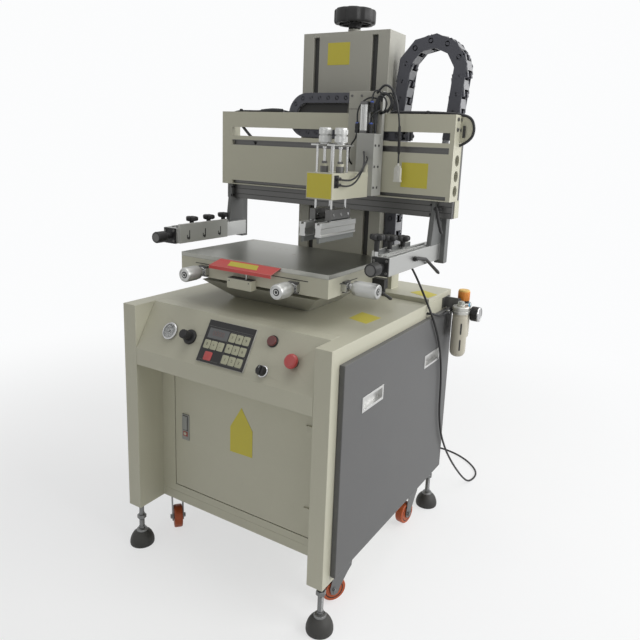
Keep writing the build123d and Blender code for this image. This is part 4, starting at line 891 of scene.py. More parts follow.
plate_tree.links.new(plate_bump.outputs["Normal"], plate_shader.inputs["Normal"])
eased_solid("table_plate", "table", [plate_steel], 0.7)
bm = bmesh.new()
add_block(bm, (-196, 133.6, 899.4), (190, 134.4, 901.6))
add_block(bm, (251.6, 189, 894.0), (252.4, 284, 896.0))
made_piece(bm, "table_box_grooves", "table", [plain_black])

# The table's three adjusting screws: a steel neck with a dark collar in a small clamped bracket, and
# a satin aluminium thimble with a straight knurl and a recessed end screw.
satin_aluminium = coated("satin_aluminium", (0.46, 0.465, 0.455), gloss=0.34, film=0.22, grain=600.0, relief=0.08,
    Metallic=0.92)
polished_steel = coated("polished_steel", (0.48, 0.48, 0.475), gloss=0.16, film=0.14, grain=300.0, relief=0.03,
    Metallic=1.0)
screw_places = {
    "left": ((-162, 125, 881), (0, -1, 0), 75.0),
    "right": ((149, 125, 881), (0, -1, 0), 75.0),
    "side": ((261, 217, 884), (1, 0, 0), 92.0),
}
neck = [(0, 0), (11.9, 0), (11.9, 4), (10.2, 5), (10.2, 8), (11.9, 8.8), (11.9, 14), (11, 15), (11, 20.4), (0, 20.4)]
collar = [(9.4, 4.8), (10.8, 4.8), (10.8, 8.2), (9.4, 8.2)]


def knurled(name, axis_point, way, radius, start, length, count, body, finish):
    """Fine straight ridges round a turned grip."""
    ridge = bmesh.new()
    add_prism(ridge, [(-0.6, 0, 0), (0.6, 0, 0), (0, 0.5, 0)], (0, 0, length), place=own)
    axis = Vector(way)
    lift = axis.orthogonal().normalized()
    beside = axis.cross(lift)
    places = []
    for i in range(count):
        turn = 2 * pi * i / count
        out = lift * cos(turn) + beside * sin(turn)
        spot = Vector(axis_point) + axis * start + out * (radius - 0.15)
        places.append((at(*spot), Matrix((out.cross(axis), out, axis)).transposed()))
    return repeated(name, ridge, places, body, finish, smooth=20)


for hand, (base, way, end) in screw_places.items():
    grip = [(0, 20), (16.4, 20), (18.2, 20.8), (19.2, 22.6), (19.2, 30), (20, 30.8), (20, end - 4), (18.4, end - 1),
        (15.4, end)]
    grip += [(14.6, end - 1.8), (6.4, end - 2.2), (6.4, end - 0.8), (4.6, end - 0.8), (3.6, end - 2), (0, end - 2)]
    body = f"table_knob_{hand}"
    bm = bmesh.new()
    add_turned(bm, base, way, grip, sides=44)
    add_turned(bm, base, way, neck, finish=1, sides=36)
    add_turned(bm, base, way, collar, finish=2, sides=36)
    # A black ring in the thimble's recessed end: painted shade in the recess.
    add_turned(bm, base, way, [(4.4, end - 2.3), (9.4, end - 2.3), (9.4, end - 1.5), (4.4, end - 1.5)], finish=2,
        sides=30)
    made_piece(bm, f"table_screw_{hand}", body, [satin_aluminium, polished_steel, moulded_black], body, easing=0.25)
    knurled(f"table_knurl_{hand}", base, way, 20.0, 32.0, end - 37.5, 64, body, satin_aluminium)
bm = bmesh.new()
for x in (-162, 149):
    add_block(bm, (x - 15.2, 124.8, 865.8), (x + 15.2, 134.2, 896.2))
    add_block(bm, (x + 12, 118, 871), (x + 17, 134, 891), finish=1)
add_block(bm, (251.8, 201.8, 868.8), (261.2, 232.2, 899.2))
add_block(bm, (252, 196, 874), (268, 202.2, 894), finish=1)
made_piece(bm, "table_screw_blocks", "table", [ground_dark, polished_steel], easing=0.6)
head_unit = bmesh.new()
head_profile = [(0, 0), (3.6, 0), (3.8, 0.4), (3.8, 2.6), (3.4, 3.0), (2.0, 3.0), (1.8, 1.4), (0, 1.4)]
add_turned(head_unit, (0, 0, 0), upward, head_profile, place=own, sides=14)
screw_heads = [(at(x + 14.6, 118, z), facing(forward)) for x in (-162, 149) for z in (875, 886)]
screw_heads += [(at(268, 199, z), facing(rightward)) for z in (879, 889)]
repeated("table_block_screws", head_unit, screw_heads, "table", polished_steel)

# The sensor box below the table's front edge, a painted box with two screws and a dark sheet on its top as painted
# shade under the shelf, and the red folded shelf over it with a bare yellow sticker, its edges and fold tinted pale:
# partly worn paint, partly a painted highlight.
bm = bmesh.new()
add_block(bm, (-60, 110, 852), (23, 134, 879.6))
# A thin dark sheet on the box's top: painted shade under the shelf.
add_block(bm, (-59, 111, 879.4), (22, 134, 881), finish=1)
add_turned(bm, (-1.9, 122, 880), upward, [(0, 0), (3.4, 0), (3.4, 2), (1.5, 2.4), (1.5, 25), (0, 25)], finish=2,
    sides=16)
made_piece(bm, "sensor_housing", "table", [cream_paint, plain_black, polished_steel], "sensor_box", easing=0.8)
head_unit = bmesh.new()
add_turned(head_unit, (0, 0, 0), upward, [(0, -0.2), (1.9, -0.2), (2.0, 0.5), (1.2, 0.7), (0, 0.3)], place=own,
    sides=12)
repeated("sensor_screws", head_unit, [(at(x, 110, 873), facing(forward)) for x in (-52, 15)], "table", ground_dark)
# The shelf's edges and fold are tinted pale pink: partly worn paint, partly a painted highlight.
shelf_red = painted("shelf_red", (0.60, 0.045, 0.04), gloss=0.36, film=0.2, rub=2.0, rubbed=(0.55, 0.40, 0.38),
    relief=0.06)
eased_solid("warning_shelf", "table", [shelf_red], 0.5)
shelf_fall = (Vector((0, 115, 904)) - Vector((0, 134, 923))) / 26.87
sticker(
    "shelf_sticker", "table",
    [tuple(Vector((x, 134, 923)) + shelf_fall * v + Vector((0, -1.45, 1.45))) for x,
        v in ((-62, 4), (34, 4), (34, 19), (-66, 19))],
    (0, -0.25, 0.25),
)


# The printing head's beam: a long box of painted sheet with a window below its top bar, two guide
# grooves, end plates with bored holes and a half-round ear, and a ground guide bar through it.
def drilled(bm, name, body, finishes, holes, *nodes):
    """A piece with round holes through it: (start, way, radius, length) for each hole."""
    piece = made_piece(bm, name, body, finishes, *nodes)
    cutter = bmesh.new()
    for start, way, radius, length in holes:
        add_turned(cutter, start, way, [(0, 0), (radius, 0), (radius, length), (0, length)], sides=24)
    drill = plain_object(f"{name}_drill", cutter)
    hole = piece.modifiers.new("holes", "BOOLEAN")
    hole.operation = "DIFFERENCE"
    hole.solver = "EXACT"
    hole.object = drill
    bpy.context.view_layer.update()
    graph = bpy.context.evaluated_depsgraph_get()
    mesh = bpy.data.meshes.new_from_object(piece.evaluated_get(graph))
    piece.modifiers.clear()
    piece.data = mesh
    mesh.set_sharp_from_angle(angle=radians(35))
    bpy.data.objects.remove(drill)
    return piece


bm = flattened(merged_solid("beam"))
end_holes = []
for z in (1217, 1173, 1131):
    end_holes += [((398, 538, z), (1, 0, 0), 16, 24), ((-422, 538, z), (1, 0, 0), 16, 24)]
drilled(bm, "beam_box", "head", [cream_paint], end_holes, "beam")
bm = bmesh.new()
add_turned(bm, (-403, 540, 1241), rightward, [(0, 0), (9.4, 0), (10, 0.8), (10, 805.2), (9.4, 806), (0, 806)],
    sides=40)
made_piece(bm, "beam_guide", "head", [polished_steel], "guide_bar")
bm = bmesh.new()
add_block(bm, (-372, 512.6, 1234.4), (402, 513.8, 1250.6))
add_block(bm, (-372, 512.6, 1106), (402, 513.8, 1116))
for z0, z1 in ((1233, 1236), (1248, 1252)):
    add_block(bm, (-372, 503.5, z0), (402, 513.8, z1 - 1))
made_piece(bm, "beam_groove_linings", "head", [ground_dark])
bm = bmesh.new()
add_block(bm, (415.6, 566, 1104), (416.5, 578.6, 1338), finish=0)
add_block(bm, (424, 540.6, 1281), (432, 541.4, 1314), finish=1)
add_block(bm, (415.5, 545, 1053), (418, 580, 1102), finish=2)
made_piece(bm, "beam_end_trim", "head", [ground_dark, plain_black, cream_paint], easing=0.2)
unit = bmesh.new()
add_turned(unit, (0, 0, 0), upward, [(0, -0.3), (5.2, -0.3), (5.4, 0.4), (5.4, 3.2), (4.8, 3.8), (2.8, 3.8),
    (2.4, 1.6), (0, 1.6)], place=own, sides=18)
end_screws = [(at(side * 415.6, y, z), facing((side, 0, 0))) for side in (-1, 1) for y in (520, 548) for z in (1330,
    1302)]
repeated("beam_end_screws", unit, end_screws, "head", ground_dark)
sticker("beam_sticker", "head", [(262, 502, 1135), (345, 502, 1135), (345, 502, 1206), (262, 502, 1206)],
    (0, -0.4, 0))

# The flat energy chain behind the top bar: the same kind of links, which carry the carriage's hoses
# from the column and fold back on themselves at the left.
flat_line = [at(119, 536, 1387), at(-83, 536, 1387)]
flat_line += [at(-83 - 53 * sin(pi * i / 8), 536, 1334 + 53 * cos(pi * i / 8)) for i in range(1, 8)]
flat_line += [at(-83, 536, 1281), at(249, 536, 1281)]
flat_pitch = 30.0
flat_solid = merged_solid("beam_chain")
chain_side(flat_solid.copy(), "beam_chain_side_near", "head", 518.0, 1, 0.8)
flat_side = chain_side(flat_solid.copy(), "beam_chain_side_far", "head", 554.0, -1, 0.8)
flat_solid.free()
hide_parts("beam_chain")
strung("beam_chain_bars", chain_link(flat_pitch, 30, 37.0, True), flat_line, flat_pitch, "head", chain_bar)
strung("beam_chain_hubs", chain_link(flat_pitch, 30, 44.4, False), flat_line, flat_pitch, "head", chain_slate)
chain_hoses("beam_chain", "head", flat_line, ((-9, 4.5), (1, 5.0), (10, 3.5)))

# Cables along the beam's top edge, held by black clips: one goes on round the rim of the right
# ear, one lies along the left end in a thicker sleeve, and a short one comes down at the window.
bent_line("beam_cable_right", [
    (215, 508, 1346), (300, 508, 1346.5), (360, 516, 1346.5), (416, 547, 1345), (446.7, 547, 1334.8),
    (457, 547, 1304), (446.7, 547, 1273.3), (416, 547, 1258.9),
], 4.0, hose_skin, "head", "beam_cables")
bent_line("beam_cable_left", [
    (-384, 516, 1338), (-358, 509, 1344), (-325, 508, 1345), (-262, 508, 1344), (-201, 508, 1350), (-150, 510, 1344),
    (-128, 518, 1338),
], 3.0, hose_skin, "head")
bent_line("beam_cable_sleeve", [(-255, 508, 1344.6), (-228, 508, 1347.5), (-200, 508, 1348.6),
    (-172, 508.6, 1346.6)], 6.0, hose_skin, "head")
bent_line("beam_window_cable", [
    (-352, 524, 1312), (-345, 514, 1301), (-331, 508, 1292), (-308, 506, 1272), (-288, 507, 1255), (-281, 513, 1241),
    (-281, 526, 1229),
], 4.6, hose_skin, "head")
bm = bmesh.new()
for x in (-340, -225, 232, 330):
    add_block(bm, (x - 5, 503.4, 1341), (x + 5, 512.6, 1343))
    add_turned(bm, (x - 4, 508, 1346.3), rightward, [(4.2, 0), (5.2, 0.4), (5.2, 7.6), (4.2, 8)], sides=20)
made_piece(bm, "beam_cable_clips", "head", [moulded_black], easing=0.3)
bm = bmesh.new()
add_prism(bm, [(-128, 524, 1343), (58, 524, 1343), (58, 530, 1371), (-104, 530, 1371)], (0, 1.2, 0))
made_piece(bm, "beam_fold", "head", [plain_black], easing=0.3)

# The rail below the beam that the two frame arms slide along: ground metal, with two thin dark
# lines along its face where its slot opens.
eased_solid("arm_rail", "head", [ground_dark], 1.0)
bm = bmesh.new()
for z0, z1 in ((1067, 1069), (1085, 1087)):
    add_block(bm, (-415, 529.7, z0), (415, 530.3, z1))
made_piece(bm, "arm_rail_slots", "head", [plain_black])


# The two frame arms: a grey painted gusset and post that clamp on the rail, and a satin aluminium
# holder with a ground clamp plate inside it, pressed by three star knobs.
def add_lever(bm, run, lean):
    """A round lever through places with a half-width each, its rings turned by lean in depth and height."""
    rings = []
    for x, y, z, half in run:
        steps = [(half * cos(pi * i / 6), half * sin(pi * i / 6)) for i in range(12)]
        rings.append([at(x + u, y + v * lean[0], z + v * lean[1]) for u, v in steps])
    add_rings(bm, rings)


arm_grey = painted("arm_grey", (0.10, 0.105, 0.106), gloss=0.44, film=0.25, rub=0.8, rubbed=(0.30, 0.30, 0.29))
clamp_metal = coated("clamp_metal", (0.50, 0.505, 0.48), gloss=0.40, film=0.25, grain=180.0, relief=0.14,
    Metallic=0.5)
arm_places = {"left": (-1, -394.0, -390.0), "right": (1, 346.0, 364.0)}
for hand, (side, holder_x, gusset_x) in arm_places.items():
    inner_x = holder_x - side * 24.0
    bm = flattened(merged_solid(f"frame_arm_{hand}"))
    bmesh.ops.bisect_plane(bm, geom=bm.verts[:] + bm.edges[:] + bm.faces[:], dist=5e-5, plane_co=at(0, 0, 972),
        plane_no=(0, 0, 1))
    for face in bm.faces:
        middle = measured(face.calc_center_bounds())
        if middle.z < 972.5 and middle.y < 575:
            face.material_index = 1
        if (middle.x - inner_x) * side < -0.2 and middle.z < 985:
            face.material_index = 2
    made_piece(bm, f"arm_{hand}_frame", f"arm_{hand}", [arm_grey, satin_aluminium, clamp_metal], f"frame_arm_{hand}",
        easing=1.0)
    bm = bmesh.new()
    rib = gusset_x + side * 6.0
    for base, tip in (((501, 973), (517.5, 1100)), ((524, 1046), (524, 1100))):
        add_prism(bm, [(rib, base[0], base[1]), (rib, base[0] + 5, base[1]), (rib, tip[0] + 5, tip[1]),
            (rib, tip[0], tip[1])], (side * 1.2, 0, 0))
    rib = gusset_x - side * 6.0
    add_prism(bm, [(rib, 501, 973), (rib, 506, 973), (rib, 522.5, 1100), (rib, 517.5, 1100)], (-side * 1.2, 0, 0))
    for z in (1062, 1090):
        for y in (511, 523):
            add_turned(bm, (rib, y + (z - 1062) * 0.1, z), (-side, 0, 0),
                [(0, 0), (3.4, 0), (3.4, 2.2), (2.9, 2.6), (0, 2.6)], finish=1, sides=14)
    made_piece(bm, f"arm_{hand}_ribs", f"arm_{hand}", [arm_grey, moulded_black], easing=0.4)
    bm = bmesh.new()
    plate_face = inner_x - side * 8.0
    for y in (283, 356, 430):
        low, high = sorted((plate_face, plate_face - side * 0.25))
        add_block(bm, (low, y - 2, 938), (high, y + 2, 962))
        add_block(bm, (low, y - 12, 936), (high, y + 2, 940))
        add_block(bm, (low, y - 12, 936), (high, y - 8.6, 948))
        add_turned(bm, (plate_face, y - 3, 937), (-side, 0, 0), [(0, 0), (5, 0), (5, 0.4), (0, 0.4)], sides=16)
    ends = sorted((holder_x - side * 15, holder_x + side * 15))
    for x in (ends[0], holder_x + 2, ends[1]):
        add_block(bm, (x - 1.4, 240, 971.8), (x + 1.4, 470, 972.3))
    made_piece(bm, f"arm_{hand}_slots", f"arm_{hand}", [plain_black])
    bm = bmesh.new()
    for x in (holder_x - side * 7, holder_x + side * 9):
        add_block(bm, (x - 1.6, 246, 971.9), (x + 1.6, 528, 975.6))
    made_piece(bm, f"arm_{hand}_edges", f"arm_{hand}", [satin_aluminium], easing=0.4)
    bm = bmesh.new()
    half = 24.0
    add_block(bm, (holder_x - half, 227, 923), (holder_x + half, 233.2, 971.5))
    knob_x = holder_x + 5.0
    barrel = [(0, 0), (9, 0), (9, 17), (7.6, 18), (7.6, 27.4), (0, 27.4)]
    add_turned(bm, (knob_x, 227, 947.5), forward, barrel, sides=30)
    grip = [(0, 27), (15, 27), (17.5, 29.4), (17.5, 59.4), (16.4, 62.2), (14.2, 63), (13.4, 61.4), (0, 61.4)]
    add_turned(bm, (knob_x, 227, 947.5), forward, grip, sides=48,
        lobes=lambda turn: 1.0 - 0.018 * (sin(24 * turn) > 0))
    add_turned(bm, (knob_x, 227, 947.5), forward, [(0, 61.2), (13.1, 61.2), (13.1, 62), (0, 62)], finish=1, sides=36)
    for x, z in ((holder_x - 17, 932), (holder_x - 17, 962), (holder_x + 19, 932), (holder_x + 19, 964)):
        add_turned(bm, (x, 227, z), forward, [(0, 0), (3.6, 0), (3.6, 2.6), (2, 3), (0, 1.6)], finish=1, sides=14)
    row_x, stars = {
        "left": (-394.0, ((326.0, 13.0), (406.0, 13.0), (480.0, 15.0))),
        "right": (330.0, ((236.0, 42.0), (312.0, 32.0), (396.0, 22.0))),
    }[hand]
    star_shape = lambda turn: 0.62 + 0.38 * abs(cos(2.5 * turn)) ** 1.4
    for y, rise in stars:
        add_turned(bm, (row_x, y, 971.9), upward, [(0, 0), (5, 0), (5, rise * 0.4), (0, rise * 0.4)], finish=2,
            sides=16)
        add_turned(bm, (row_x, y, 971.9 + rise * 0.3), upward,
            [(0, 0), (6.6, 0), (7.6, rise * 0.7), (0, rise * 0.7)], sides=24)
        top = [(0, 0), (14.5, 0), (19.6, 2.2), (21, 5), (21, 11), (19.1, 14.2), (14, 15.8), (6.2, 16), (5.6, 14.8),
            (0, 14.8)]
        add_turned(bm, (row_x, y, 971.9 + rise), upward, top, sides=50, lobes=star_shape)
    made_piece(bm, f"arm_{hand}_knobs", f"arm_{hand}", [moulded_black, ground_dark, polished_steel],
        f"arm_knobs_{hand}", easing=0.3)
bm = bmesh.new()
add_turned(bm, (370, 389, 950), rightward, [(0, 0), (7, 0), (7, 5), (5, 6), (5, 11), (0, 11)], sides=20)
add_lever(bm, [
    (378, 381, 952, 3.6), (378, 385, 952, 5), (378, 403, 950, 5), (378, 455, 941, 4.8),
    (379, 505, 914, 5), (380, 549, 890, 5.6), (380, 557, 886, 4),
], (0, 1))
for x in (374, 386):
    add_turned(bm, (x, 514, 1080), forward, [(0, 0), (6, 0), (6, 6), (4.6, 7), (4.6, 10), (0, 10)], sides=20)
lever_run = ((379, 1086, 3), (380, 1082, 5), (384, 1062, 5), (391, 1036, 4.8), (398, 1016, 4.8), (401, 1010, 3))
add_lever(bm, [(x, 503, z, half) for x, z, half in lever_run], (1, 0))
made_piece(bm, "arm_right_levers", "arm_right", [moulded_black], easing=0.3)


# The carriage: a painted back plate and a grey casting on the guide bar, and on it an extruded
# aluminium air cylinder with three black push-in fittings that have blue collars.
casting_paint = painted("casting_paint", (0.40, 0.405, 0.385), gloss=0.40, film=0.3, rubbed=(0.50, 0.50, 0.47))
bm = flattened(merged_solid("carriage"))
for face in bm.faces:
    middle = measured(face.calc_center_bounds())
    if middle.y < 481.5:
        face.material_index = 1
    if middle.y > 498:
        face.material_index = 2
made_piece(bm, "carriage_casting", "carriage", [stone_paint, casting_paint, ground_dark], "carriage", easing=1.4)
unit = bmesh.new()
add_turned(unit, (0, 0, 0), upward, [(0, -0.2), (3.4, -0.2), (3.6, 0.3), (3.6, 1.8), (2.0, 2.0), (1.7, 0.8),
    (0, 0.8)], place=own, sides=16)
casting_screws = [(at(200, y, z), facing(rightward)) for y in (448, 470) for z in (1130, 1190, 1250)]
casting_screws += [(at(x, 482, z), facing(forward)) for x in (98, 130) for z in (1120, 1200, 1390)]
repeated("carriage_screws", unit, casting_screws, "carriage", ground_dark)
bm = bmesh.new()
add_block(bm, (88.6, 481.7, 1352), (188, 482.4, 1353.4))
made_piece(bm, "carriage_seam", "carriage", [plain_black])
cylinder_x, cylinder_y, cylinder_foot = 157.5, 461.0, 1283.0
bm = bmesh.new()
profile_points = [(-11, -13), (-9, -15), (-4, -15), (-3.4, -13.2), (-1.2, -13.2), (-0.6, -15), (0.6, -15),
    (1.2, -13.2), (3.4, -13.2), (4, -15), (9, -15),
                  (11, -13), (11, -6), (9.4, -5), (9.4, 5), (11, 6), (11, 13), (9, 15), (-9, 15), (-11, 13),
                  (-11, 6), (-9.4, 5), (-9.4, -5), (-11, -6)]
add_prism(bm, [(cylinder_x + x, cylinder_y + y, cylinder_foot + 6) for x, y in profile_points], (0, 0, 76))
for z, tall in ((0, 8), (80, 9)):
    add_block(bm, (cylinder_x - 11, cylinder_y - 15, cylinder_foot + z),
        (cylinder_x + 11, cylinder_y + 15, cylinder_foot + z + tall), finish=1)
for side, fitting_x, fitting_y, foot in ((-1, 133.0, 457.0, 1284.0), (1, 175.5, 461.0, 1283.0),
    (1, 177.0, 459.0, 1343.0)):
    add_turned(bm, (fitting_x, fitting_y, foot), upward, [(0, 0), (7, 0), (7, 9), (6, 10), (6, 13), (0, 13)],
        finish=2, sides=6)
    add_turned(bm, (fitting_x, fitting_y, foot + 12), upward, [(0, 0), (6.6, 0), (6.6, 13), (5.6, 14.4), (0, 14.4)],
        finish=2, sides=24)
    add_turned(bm, (fitting_x, fitting_y, foot + 26), upward,
        [(0, 0), (5.2, 0), (5.6, 1), (5.6, 3.4), (4.6, 4.4), (0, 4.4)], finish=3, sides=24)
    add_turned(bm, (fitting_x, fitting_y, foot + 30), upward, [(0, 0), (3.2, 0), (3.2, 4), (0, 4)], finish=2,
        sides=16)
    low, high = sorted((cylinder_x + side * 10.8, fitting_x))
    add_block(bm, (low, fitting_y - 4, foot + 3), (high, fitting_y + 4, foot + 11), finish=2)
collar_blue = coated("collar_blue", (0.05, 0.10, 0.42), gloss=0.3, film=0.1)
made_piece(bm, "carriage_cylinder", "carriage", [satin_aluminium, ground_dark, moulded_black, collar_blue],
    "air_cylinder", easing=0.35)

# The hoses on the carriage: a bundle that bows over the cylinder and two thinner hoses that swing
# from the valve on the squeegee bracket back to the casting.
bow_x, bow_y, casting_top = 186.0, 470.0, 1283.0
bow_run = [
    (bow_x, bow_y, casting_top), (bow_x, bow_y - 2, casting_top + 30), (bow_x - 2, bow_y, casting_top + 62),
    (bow_x + 4, bow_y - 3, casting_top + 94), (bow_x + 22, bow_y - 4, casting_top + 116),
    (bow_x + 45, bow_y - 3, casting_top + 104), (bow_x + 50, bow_y, casting_top + 80),
    (bow_x + 32, bow_y + 3, casting_top + 62), (bow_x + 7, bow_y + 12, casting_top + 58),
]
bent_line("carriage_hose_bow", bow_run, 4.0, hose_skin, "carriage", "carriage_hoses")
for number, (dx, dy, grow, thick) in enumerate(((-4, -3, 0.80, 2.4), (3, 4, 0.92, 2.4))):
    run = [(bow_x + dx + (x - bow_x) * grow, y + dy, casting_top + (z - casting_top) * (0.94 + 0.04 * number)) for x,
        y, z in bow_run[1:-1]]
    bent_line(f"carriage_hose_thin_{number}", run, thick, hose_skin, "carriage")
bent_line("carriage_hose_left", [
    (133, 457, 1313), (131, 455, 1338), (138, 460, 1366), (160, 466, 1384), (182, 470, 1384), (192, 478, 1372),
    (190, 481.5, 1350),
], 2.4, hose_skin, "carriage")
bent_line("carriage_hose_right", [(175.5, 461, 1312), (176, 457, 1326), (186, 458, 1340), (195, 466, 1348),
    (196, 481.5, 1350)], 2.4, hose_skin, "carriage")
bent_line("carriage_hose_low", [
    (133, 457, 1286), (132, 455, 1273), (126, 456, 1263), (116, 458, 1252), (107, 461, 1236), (104, 464, 1214),
    (105, 474, 1198), (106, 482, 1193),
], 2.4, hose_skin, "carriage")
bent_line("carriage_hose_elbow", [
    (139, 455, 1312), (136, 452, 1290), (141, 450, 1250), (150, 452, 1214), (157, 452, 1200), (166, 452, 1192),
], 2.4, hose_skin, "carriage")
bent_line("carriage_hose_top", [
    (177, 459, 1373), (177, 459, 1390), (184, 463, 1404), (196, 470, 1402), (200, 478, 1386), (196, 482, 1374),
], 2.4, hose_skin, "carriage")
bm = bmesh.new()
add_turned(bm, (160, 452, 1190), rightward, [(0, 0), (6, 0), (6.4, 1), (6.4, 12), (5, 13), (0, 13)], sides=20)
add_turned(bm, (162, 452, 1188), (-0.35, 0, 1), [(0, 0), (5.6, 0), (5.6, 14), (4.4, 16), (0, 16)], sides=20)
made_piece(bm, "carriage_elbow", "carriage", [moulded_black], easing=0.3)
bent_line("carriage_hose_arc", [
    (186, 470, 1396), (200, 468, 1412), (214, 467, 1419), (231, 467, 1411), (243, 467, 1394), (250, 470, 1370),
    (253, 474, 1345),
], 3.4, hose_skin, "carriage")
for number, (shift, rise) in enumerate(((0, 0), (1, -16))):
    bent_line(f"valve_hose_{number}", [
        (190, 262, 1159 + rise), (202, 292, 1153 + rise), (207, 325, 1159 + rise * 0.8),
        (205, 358, 1177 + rise * 0.6),
        (203 - 5 * shift, 390, 1201 + rise * 0.4), (196 - 12 * shift, 415, 1213 + 8 * shift),
        (178 - 10 * shift, 440, 1217 + 14 * shift),
    ], 2.5, hose_skin, "carriage")
bm = bmesh.new()
for rise in (1159, 1143):
    add_turned(bm, (184, 262, rise), rightward, [(0, 0), (6, 0), (6, 4), (4.6, 5), (4.6, 9), (0, 9)], sides=18)
    add_turned(bm, (190, 262, rise), (0.5, 0.86, 0), [(0, -3), (4.4, -3), (4.4, 9), (3.4, 10.4), (0, 10.4)], sides=18)
add_block(bm, (181, 250, 1134), (186.6, 274, 1168))
made_piece(bm, "carriage_valve", "carriage", [moulded_black], easing=0.5)

# The squeegee bracket: a folded cream bracket out from the casting, with a sloping cheek at its
# root, two black cylinder necks on top and a bare yellow sticker on its front.
eased_solid("squeegee_bracket", "carriage", [cream_paint], 1.4)
bm = bmesh.new()
for x in (123, 173):
    add_turned(bm, (x, 300, 1173), upward, [(4.6, 0), (11.2, 0), (11.2, 17), (9.4, 18), (9.4, 24.3), (4.6, 24.3)],
        sides=32)
    add_turned(bm, (x, 300, 1197.3), upward, [(4.6, 0), (7.6, 0), (7.6, 6), (4.6, 6)], sides=6)
made_piece(bm, "bracket_necks", "carriage", [ground_dark], easing=0.3)
sticker("bracket_sticker", "carriage", [(107, 240, 1106), (184, 240, 1106), (184, 240, 1171), (107, 240, 1171)],
    (0, -0.4, 0))
bm = bmesh.new()
add_prism(bm, [(184.5, 425, 1172), (184.5, 440, 1172), (184.5, 440, 1196), (184.5, 434, 1190)], (-6, 0, 0))
made_piece(bm, "bracket_cheek", "carriage", [cream_paint], easing=0.6)


# The two squeegee units: ground rods in the bracket, a bridge with a knurled stroke knob on the
# piston, and below a clamp block that holds the squeegee's aluminium bar and its rubber blade.
blade_rubber = coated("blade_rubber", (0.16, 0.17, 0.165), gloss=0.5, film=0.2, relief=0.1)
rod_depths, piston_depth, bridge_top = (262.5, 337.5), 300, 1248
for hand, x in (("left", 123.0), ("right", 173.0)):
    body = f"squeegee_{hand}"
    bm = bmesh.new()
    for y in rod_depths:
        add_turned(bm, (x, y, 1076), upward, [(0, 0), (3.2, 0), (3.2, 168), (0, 168)], sides=20)
    add_turned(bm, (x, piston_depth, 1154), upward, [(0, 0), (4, 0), (4, 90), (0, 90)], sides=20)
    add_block(bm, (x - 12, 248, bridge_top - 4), (x + 12, 352, bridge_top), finish=1)
    for y in rod_depths:
        add_turned(bm, (x, y, bridge_top), upward,
            [(0, 0), (4.6, 0), (4.6, 3.4), (4, 4), (2.2, 4), (2.0, 1.6), (0, 1.6)], finish=2, sides=6)
    add_turned(bm, (x, piston_depth, 1237.5), upward, [(0, 0), (6.4, 0), (6.4, 5), (0, 5)], sides=20)
    add_turned(bm, (x, piston_depth, 1242), upward, [(0, 0), (7.4, 0), (7.4, 2.5), (0, 2.5)], finish=2, sides=6)
    knob = [(0, 0), (13, 0), (13, 4), (17.2, 5), (17.2, 22), (15.6, 23), (15.6, 25), (17.4, 26), (17.4, 41),
        (16, 44), (7, 44), (6, 42.4), (0, 42.4)]
    add_turned(bm, (x, piston_depth, bridge_top), upward, knob, finish=1, sides=44)
    made_piece(bm, f"squeegee_{hand}_rods", body, [polished_steel, satin_aluminium, ground_dark], easing=0.25)
    knurled(f"squeegee_{hand}_knurl", (x, piston_depth, bridge_top), (0, 0, 1), 17.3, 7.0, 14.0, 60, body,
        satin_aluminium)
    knurled(f"squeegee_{hand}_knurl_top", (x, piston_depth, bridge_top), (0, 0, 1), 17.5, 27.0, 12.0, 60, body,
        satin_aluminium)
    bm = bmesh.new()
    add_block(bm, (x - 9, 248, 1046), (x + 9, 352, 1076), finish=1)
    for side in (-1, 1):
        low, high = sorted((x + side * 9, x + side * 3.0))
        add_block(bm, (low, 250, 1040), (high, 350, 1050), finish=0)
    bar = [(-10, 0), (10, 0), (10, 5), (8.2, 7), (8.2, 22), (10, 24), (10, 38), (4, 38), (4, 32), (-4, 32), (-4, 38),
        (-10, 38), (-10, 24), (-8.2, 22), (-8.2, 7), (-10, 5)]
    add_prism(bm, [(x + u, 200, 1006 + v) for u, v in bar], (0, 185, 0), finish=0)
    add_prism(bm, [(x - 4, 200.5, 990.4), (x, 200.5, 990), (x + 4, 200.5, 991), (x + 4, 200.5, 1006.4),
        (x - 4, 200.5, 1006.4)], (0, 184, 0), finish=2)
    for y in (262, 300, 338):
        add_turned(bm, (x - 9, y, 1061), (-1, 0, 0), [(0, 0), (5, 0), (5, 3), (0, 3)], finish=3, sides=16)
        add_turned(bm, (x + 9, y, 1061), rightward, [(0, 0), (4, 0), (4, 2), (0, 2)], finish=3, sides=6)
    made_piece(bm, f"squeegee_{hand}_bar", body, [satin_aluminium, ground_dark, blade_rubber, polished_steel],
        f"squeegee_unit_{hand}", easing=0.5)


# The console's fittings on its slope: a glazed pressure gauge, a keypad under a printed film, a dark
# red push button and chrome rings. Places here are across, up the slope and out from it.
slope_run = Vector((0, 75, 126)).normalized()
slope_out = Vector((0, -126, 75)).normalized()


def on_slope(u, v, out):
    return at(*(Vector((u, 0, 655)) + slope_run * v + slope_out * out))


chrome_ring = coated("chrome_ring", (0.46, 0.46, 0.46), gloss=0.16, film=0.1, grain=200.0, relief=0.02, Metallic=1.0)
dial_white = coated("dial_white", (0.50, 0.52, 0.51), gloss=0.5, film=0.2, relief=0.02)
gauge_glass, glass_tree, glass_shader = new_surface(
    "gauge_glass", Roughness=0.04, Alpha=0.16, IOR=1.45, Coat_Weight=0.5, Coat_Roughness=0.05
)
glass_place = own_place(glass_tree)
glass_marks = put(glass_tree, "ShaderNodeTexNoise", Vector=glass_place, Scale=90.0, Detail=3.0)
glass_tree.links.new(
    blended(glass_tree, glass_marks.outputs["Fac"], (0.80, 0.84, 0.84, 1), (0.62, 0.64, 0.62, 1)),
    glass_shader.inputs["Base Color"]
)
button_red = coated("button_red", (0.50, 0.03, 0.03), gloss=0.26, film=0.18, relief=0.05, Coat_Weight=0.3)
button_dark_red = coated("button_dark_red", (0.13, 0.018, 0.018), gloss=0.3, film=0.2, relief=0.05)
key_black = coated("key_black", (0.012, 0.012, 0.013), gloss=0.34, film=0.05, relief=0.05, Specular_IOR_Level=0.35)
